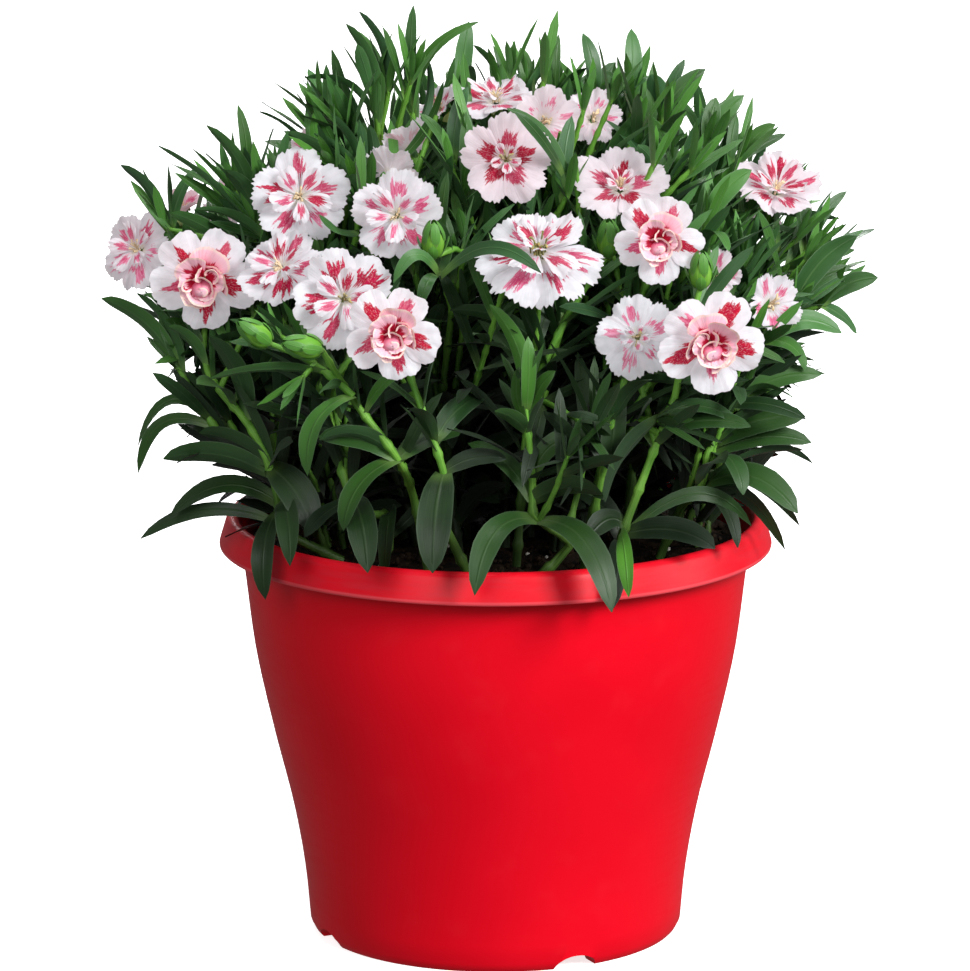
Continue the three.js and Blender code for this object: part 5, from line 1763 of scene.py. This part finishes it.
# %% [markdown]
# A petal blank is pressed onto a cone round the bloom's axis. Its rim is cut into small teeth by
# drawing in every other column, its edges round off towards the neighbours, and it flutes, frills and
# overlaps the next petal on one side, as a pinwheel does.


# %% Petal shape
PETAL_START = 1.1
PETAL_THICK = 0.36
PINWHEEL = 0.5
FOOT_DIP = 1.6


def placed(name, spots):
    at, axes = BLOOM_FRAMES[name]
    return at + spots @ axes


def pressed_petal(name, length, angle, half, tilt, rise, wave, rim, chance):
    """A petal; rim is the depth of its teeth, the rounding of its sides and the height of its frill."""
    teeth, rounding, frill = rim
    lean = chance.uniform(-6, 6)
    curl = chance.uniform(-0.04, 0.12)
    phase = chance.uniform(0, 6)
    sway = chance.uniform(-0.12, 0.12)
    dips = np.array([0 if k % 2 else chance.random() ** 1.3 for k in range(PETAL_COLUMNS + 1)])
    notch = chance.uniform(0, 0.06)

    def shape(x, y, z):
        tooth = dips[np.rint((x + 1) * PETAL_COLUMNS / 2).astype(int)] * teeth
        lobes = teeth * 0.4 * (np.sin(7 * x + phase) + np.sin(12 * x - phase))
        lobes = lobes + notch * np.exp(-(x / 0.2) ** 2)
        edge = 1 - 0.05 * x ** 2 - rounding * np.abs(x) ** 4 - tooth * y ** 9
        edge = edge - np.maximum(lobes, 0) * y ** 6
        along = PETAL_START + (length * edge - PETAL_START) * y
        share = along / length
        slope = np.radians(tilt + lean * np.cos(np.pi * x / 2) ** 2)
        thick = PETAL_THICK * z * (1 - 0.5 * y)
        out = along * np.cos(slope) - thick * np.sin(slope)
        flute = wave * length * share ** 2 * np.cos(np.pi * x)
        ruffle = np.sin(6 * x + phase) + 0.45 * share * np.sin(15 * x + 2 * phase)
        ruffle = ruffle + 0.3 * share ** 4 * np.sin(31 * x)
        height = (rise + along * np.sin(slope) + flute + frill * share ** 2.5 * ruffle
                  + PINWHEEL * x * share - curl * length * share ** 4 + thick
                  - FOOT_DIP * (1 - y) ** 5)
        turn = angle - x * half * np.clip(0.5 + 3 * y, 0, 1) + sway * share ** 2
        return placed(name, np.stack([out * np.cos(turn), out * np.sin(turn), height], axis=1))
    return shape


STYLE_RADII = np.array([1, 0.9, 0.85, 0.8, 0.8, 1.35, 0.6])
STYLE_SIDES = 5


def pressed_strand(name, foot, lean_angle, height, curl, radius):
    """A fine curled thread that rises from the throat."""
    t = np.linspace(0, 1, len(STYLE_RADII))
    reach = foot + curl * t ** 2
    rise = -0.6 + height * np.sin(t * 1.9) / math.sin(1.9)
    spots = np.stack([math.cos(lean_angle) * reach, math.sin(lean_angle) * reach, rise], axis=1)
    return pressed_tube(placed(name, spots), radius * STYLE_RADII)


def press_heart(piece, name, chance, tone, count, height, spread):
    side = chance.uniform(0, 2 * math.pi)
    for _ in range(count):
        angle = side + chance.gauss(0, 1.3)
        shape = pressed_strand(
            name, chance.uniform(0, spread), angle, height * chance.uniform(0.5, 1.15),
            chance.uniform(0.3, 3.2), chance.uniform(0.3, 0.5),
        )
        piece.press(tube(STYLE_SIDES, len(STYLE_RADII) - 1), shape, (*tone, chance.random()), 2)


# %% [markdown]
# Each form of bloom is a row of whorls: how many petals, how far they reach, how steeply they stand,
# how high they sit and how deep their waves are. The looks say for each bloom how strong the crimson
# marks are, how pink the petals blush, and how green the heart is. The fresh ones are strongly marked,
# and the older and the hidden ones are paler.

# %% Looks of the blooms
FORMS = {
    "star": [(5, 1, 4, 0, 0.09), (5, 0.74, 27, 1.7, 0.1)],
    "rosette": [(5, 1, 2, 0, 0.07)],
    "double": [(6, 1, -8, 0, 0.08), (5, 0.84, 14, 1.8, 0.09), (5, 0.5, 42, 3.6, 0.06)],
    "funnel": [(5, 1, 14, 0, 0.1), (5, 0.78, 38, 1.7, 0.1)],
    "small": [(5, 1, 20, 0, 0.1)],
    "opening": [(4, 1, 52, 0, 0.05)],
}
LOOKS = {
    "bloom_upper_left": (0.9, 0.02, 0.15), "bloom_centre_left": (0.66, 0.06, 0.2),
    "bloom_left_of_middle": (1, 0.05, 0), "bloom_open_middle": (0.9, 0.02, 0.7),
    "bloom_top": (1, 0.15, 0.2), "bloom_top_front": (1, 0.42, 0.5),
    "bloom_top_right_back": (0.3, 0.35, 0), "bloom_double": (0.85, 0.0, 1),
    "bloom_funnel": (1, 0.3, 0.1), "bloom_far_right": (0.9, 0.3, 0),
    "bloom_pale_lower": (0.3, 0.0, 0.5), "bloom_far_left": (0.7, 0.16, 0),
    "bloom_half_open_left": (0.6, 0.9, 0.2), "bloom_behind_upper_left": (0.4, 0.5, 0),
    "bloom_frilled_back": (0.1, 0.08, 0), "bloom_behind_funnel": (0.3, 0.3, 0),
    "bloom_hidden_right": (0.6, 0.3, 0), "bloom_low_right": (0.5, 0.1, 0.2),
}
PLAIN_LOOK = (0.75, 0.12, 0.3)
BRIGHT = {"bloom_top_front", "bloom_funnel"}
FLAT = BRIGHT | {"bloom_pale_lower"}
FLAT_INNER = 0.55
OVERLAP = 1.14
INNER_NARROW = (0.62, 0.86)
TEETH = 0.07
ROUNDING = 0.24
FRILL = {"small": 1.1}
PLAIN_FRILL = 0.75
HEARTS = {"double": (22, 7.5, 3.2)}
PLAIN_HEART = (9, 4.6, 1.2)
HEART_PINK = 0.1


def press_whorls(piece, name, whorls, look, chance, rim, overlap=OVERLAP):
    """Outer petals overlap all round. Inner ones are narrower, and each stands in its own way."""
    radius, _, turn = BLOOMS[name][3:]
    for order, (petals, reach, tilt, rise, wave) in enumerate(whorls):
        if order and name in FLAT:
            reach *= FLAT_INNER
        first = math.radians(turn + order * 180 / whorls[0][0])
        for k in range(petals):
            size, half, stand = chance.uniform(0.96, 1.01), overlap, 0
            if order:
                size, half = chance.uniform(0.78, 1), chance.uniform(*INNER_NARROW)
                stand = chance.uniform(-9, 6)
            angle = first + 2 * math.pi * (k + chance.uniform(-0.06, 0.06)) / petals
            shape = pressed_petal(
                name, radius * reach * size, angle, math.pi / petals * half, tilt + stand, rise,
                wave, rim, chance,
            )
            marked = look[0] * chance.uniform(0.66, 1.08)
            piece.press(PETAL_BLANK, shape, (marked, look[1], chance.random()), min(order, 1))


def press_bloom(name):
    form = BLOOMS[name][4]
    look = LOOKS.get(name, PLAIN_LOOK)
    piece = Piece("petals_" + name.removeprefix("bloom_"))
    chance = random.Random(name)
    rim = (TEETH, ROUNDING, FRILL.get(form, PLAIN_FRILL))
    press_whorls(piece, name, FORMS[form], look, chance, rim)
    press_heart(piece, name, chance, (look[2], HEART_PINK), *HEARTS.get(form, PLAIN_HEART))
    outer = STAR_BRIGHT if name in BRIGHT else STAR_OUTER
    return piece.finish("petals", name, outer, STAR_INNER, STYLES)


stars = [name for name in BLOOMS if BLOOMS[name][4] != "rosette"]
print("stars:", sum(press_bloom(name) for name in stars), "faces")

# %% [markdown]
# A rosette is fuller. Its five white outer petals carry crimson triangles, pink shells stand over them,
# larger at the top, and in the middle short petals are rolled into each other like a rosebud, with
# cream rims and a crimson inside. Two caps close over the rolls. One rosette is a mirror image, so
# that not all of them wind the same way.

# %% Rosettes
ROSETTE_RADIUS = 22
ROSETTE_RIM = (0.03, 0.34, 0.7)
ROSETTE_LOOK = (1, 0.03)
ROSETTE_OVERLAP = 1.1
SHELLS = [
    (122, 0.66, 46, 30, 0.9), (72, 0.73, 46, 22, 0), (176, 0.52, 42, 31, 0.9),
    (14, 0.48, 42, 31, 0.9), (-60, 0.42, 46, 35, 0.4), (226, 0.5, 44, 31, 0.7),
]
SHELL_RIM = (0.02, 0.16, 0.4)
SHELL_RISE = 1.7
SHELL_WAVE = 0.04
ROLLS = [
    (9.4, 4.4, 222, 46, 1.8, -0.08, 0.2, -0.9), (8, 5.4, 30, 62, 2, 0.2, 0.8, 0),
    (7.2, 4.8, 118, 52, 1.8, -0.12, -1.2, -0.6), (6, 5.4, 258, 118, 2.4, 0.12, 0, -2.6),
    (4.4, 5.8, 48, 92, 2.8, -0.2, 0.3, -2.6), (3.4, 6, 165, 62, 2.6, 0.1, 1.6, 2.6),
    (2.4, 5.8, 58, 138, 3.2, 0.3, 3.7, 3.5), (2, 5.4, 190, 120, 3, 0.3, -5, -1.4),
]
CAPS = [(4.2, 6.2, 205, 112, 2.2, 0, -3.2), (3.7, 5.4, 25, 118, 2.2, 0.2, -3)]
CAP_CLOSE = 124
CAP_TONE = (0.12, 1)
MIRRORED = {"rosette_lower_right"}


def round_the_heart(name, size, turn, out, lift, aside, above):
    """Spots at a turn and a distance out from an axis that stands aside from the bloom's own."""
    spots = np.stack([out * np.cos(turn) + aside, out * np.sin(turn) + above, lift], axis=1)
    return placed(name, spots * size)


def pressed_roll(name, size, roll, chance):
    """A petal that stands like part of a bowl, with a thick rim; one end winds in behind the next."""
    radius, height, angle, half, floor, winding, *middle = roll
    phase = chance.uniform(0, 6)

    def shape(x, y, z):
        flare = 0.5 + 0.5 * y ** 0.75
        thick = z * (0.3 + 0.55 * y ** 3)
        waver = 1 + winding * x + 0.06 * np.sin(4 * x + phase) + 0.03 * np.sin(11 * x + 2 * phase)
        out = radius * flare * waver + 0.6 * y ** 5 - thick
        turn = math.radians(angle) - x * math.radians(half)
        rim = 1 - 0.32 * np.abs(x) ** 2.6 + 0.07 * np.sin(5 * x + phase)
        return round_the_heart(name, size, turn, out, floor + height * y * rim, *middle)
    return shape


def pressed_cap(name, size, cap, chance):
    """A petal that closes over the middle like a hood; its thick rim lies across the top."""
    radius, height, angle, half, floor, *middle = cap
    phase = chance.uniform(0, 6)

    def shape(x, y, z):
        climb = y * math.radians(CAP_CLOSE)
        turn = math.radians(angle) - x * math.radians(half) * (1 - 0.12 * y)
        oval = 1 + 0.2 * np.cos(2 * turn - 0.5) + 0.06 * np.sin(3 * x + phase)
        out = radius * np.cos(climb) * oval - z * 0.5 * np.cos(climb)
        lift = floor + height * np.sin(np.minimum(climb, math.pi / 2 + 0.15)) - z * 0.5 * np.sin(climb)
        return round_the_heart(name, size, turn, out, lift, *middle)
    return shape


def mirror_image(shells, rolls, caps):
    """The same rosette, seen in a mirror: its angles and windings run the other way."""
    shells = [(180 - angle, *rest) for angle, *rest in shells]
    rolls = [
        (radius, height, 180 - angle, half, floor, -winding, -aside, above)
        for radius, height, angle, half, floor, winding, aside, above in rolls
    ]
    caps = [
        (radius, height, 180 - angle, half, floor, -aside, above)
        for radius, height, angle, half, floor, aside, above in caps
    ]
    return shells, rolls, caps


def press_rosette(name):
    radius = BLOOMS[name][3]
    size = radius / ROSETTE_RADIUS
    piece = Piece("petals_" + name.removeprefix("bloom_"))
    chance = random.Random(name)
    press_whorls(piece, name, FORMS["rosette"], ROSETTE_LOOK, chance, ROSETTE_RIM, ROSETTE_OVERLAP)
    parts = (SHELLS, ROLLS, CAPS)
    shells, rolls, caps = mirror_image(*parts) if name in MIRRORED else parts
    for angle, reach, half, tilt, rise in shells:
        shape = pressed_petal(
            name, radius * reach, math.radians(angle), math.radians(half), tilt + chance.uniform(-4, 4),
            SHELL_RISE + rise, SHELL_WAVE, SHELL_RIM, chance,
        )
        piece.press(PETAL_BLANK, shape, (chance.uniform(0.42, 0.6), 0.7, chance.random()), 1)
    for roll in rolls:
        tone = (chance.uniform(0.5, 0.8), 1, chance.random())
        piece.press(INNER_PETAL_BLANK, pressed_roll(name, size, roll, chance), tone, 1)
    for cap in caps:
        shape = pressed_cap(name, size, cap, chance)
        piece.press(INNER_PETAL_BLANK, shape, (*CAP_TONE, chance.random()), 1)
    slot = "rosette_petals" if name.startswith("rosette") else "petals"
    return piece.finish(slot, name, ROSETTE_OUTER, ROSETTE_SHELL)


rosettes = [name for name in BLOOMS if BLOOMS[name][4] == "rosette"]
print("rosettes:", sum(press_rosette(name) for name in rosettes), "faces")

# %% [markdown]
# The growing mix is dark peat: a round grid pressed into the pot, rough on top, strewn with crumbs and
# a few white grains of perlite.


# %% Growing mix finish
FIBRE_SCALE = (900, 260, 400)


def dark_peat():
    finish = Finish("dark_peat", Specular_IOR_Level=0.15)
    place = finish.place()
    pale, _, chance, _ = finish.tone()
    clumps = finish.cloud(place, 130, 5)
    fibres = finish.cloud(finish.stretch(place, FIBRE_SCALE), 1, 3)
    brown = finish.coats(
        finish.mix(clumps.step(0.35, 0.7), "0F0B08", "33261A"),
        (fibres.step(0.6, 0.75) * 0.5, "5A4630"),
        (chance * 0.3, "1B1712"),
        (pale, finish.mix(clumps, "B9B4A8", "E8E5DC")),
    )
    relief = finish.bump(clumps + fibres * 0.5, 0.8, 0.0015)
    return finish.wear(Base_Color=brown, Roughness=0.85 + clumps * 0.15, Normal=relief)


# %% [markdown]
# The body of the mix is pulled ring by ring as the pot is, then its top is roughened in code. The
# crumbs are a low ball, copied some hundreds of times at odd sizes, so the ball has only 20 faces.

# %% Growing mix
SOIL_SIDES = 72
SOIL_DIP = 0.8
SOIL_RINGS = [(8 * k, 0) for k in range(1, 12)] + [(93, 0.3), (96.2, 1.2), (97.4, 0.4)]
SOIL_WALL = [(97.0, 151), (84.5, 83), (72.0, 14), (70.2, 9.4)]
SOIL_ROUGHNESS = 1.7
ROUGH_DEPTH = 3
ROUGH_RADIUS = 96
CRUMBS = 520
CRUMB_RADIUS = 95
CRUMB_SIZE = (0.5, 1.7)
CRUMB_SQUASH = (0.6, 1.3)
CRUMB_LIFT = 0.3
PERLITE_SHARE = 0.07


def round_bed():
    rings = [(radius, SOIL_LEVEL - SOIL_DIP + rise) for radius, rise in SOIL_RINGS] + SOIL_WALL
    radius, height = rings[0]
    bpy.ops.mesh.primitive_circle_add(
        vertices=SOIL_SIDES, radius=radius, fill_type="TRIFAN", location=(0, 0, height)
    )
    bed = bpy.context.active_object
    bpy.ops.object.transform_apply()
    bpy.ops.object.mode_set(mode="EDIT")
    for ring, next_ring in zip(rings, rings[1:]):
        bpy.ops.mesh.select_all(action="DESELECT")
        bpy.ops.mesh.select_non_manifold(extend=False)
        pull(ring, next_ring)
    bpy.ops.mesh.edge_face_add()
    align_faces()
    return Blank(bed)


def rough_top(chance):
    def shape(x, y, z):
        lift = np.array([chance.uniform(-1, 1) for _ in x]) * SOIL_ROUGHNESS
        top = (z > SOIL_LEVEL - ROUGH_DEPTH) & (np.hypot(x, y) < ROUGH_RADIUS)
        return np.stack([x, y, z + np.where(top, lift, 0)], axis=1)
    return shape


def crumb_blank():
    bpy.ops.mesh.primitive_ico_sphere_add(subdivisions=1, radius=1)
    return Blank(bpy.context.active_object)


def crumb_shape(chance):
    radius = CRUMB_RADIUS * math.sqrt(chance.random())
    angle = chance.uniform(0, 2 * math.pi)
    size = chance.uniform(*CRUMB_SIZE)
    squash = [size * chance.uniform(*CRUMB_SQUASH) for _ in range(3)]
    at = (radius * math.cos(angle), radius * math.sin(angle), SOIL_LEVEL + size * CRUMB_LIFT)

    def shape(x, y, z):
        sides = zip((x, y, z), squash, at)
        return np.stack([side * wide + middle for side, wide, middle in sides], axis=1)
    return shape


def growing_bed():
    chance = random.Random(5)
    piece = Piece("peat_bed")
    piece.press(round_bed(), rough_top(chance), (0, 0, 0))
    crumb = crumb_blank()
    for _ in range(CRUMBS):
        pale = 1 if chance.random() < PERLITE_SHARE else 0
        piece.press(crumb, crumb_shape(chance), (pale, 0, chance.random()))
    return piece.finish("growing_mix", "growing_mix", dark_peat())


print("growing mix:", growing_bed(), "faces")

# %% [markdown]
# Last, the box of the solid model and the box of the finished plant are worked out and printed.

# %% Sizes and finish
boxes = {"cad": cad_box, "visual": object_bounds()}
{kind: [list(corner) for corner in box] for kind, box in boxes.items()}
for kind, box in boxes.items():
    print(kind, "box", [[round(side / MM, 1) for side in corner] for corner in box])
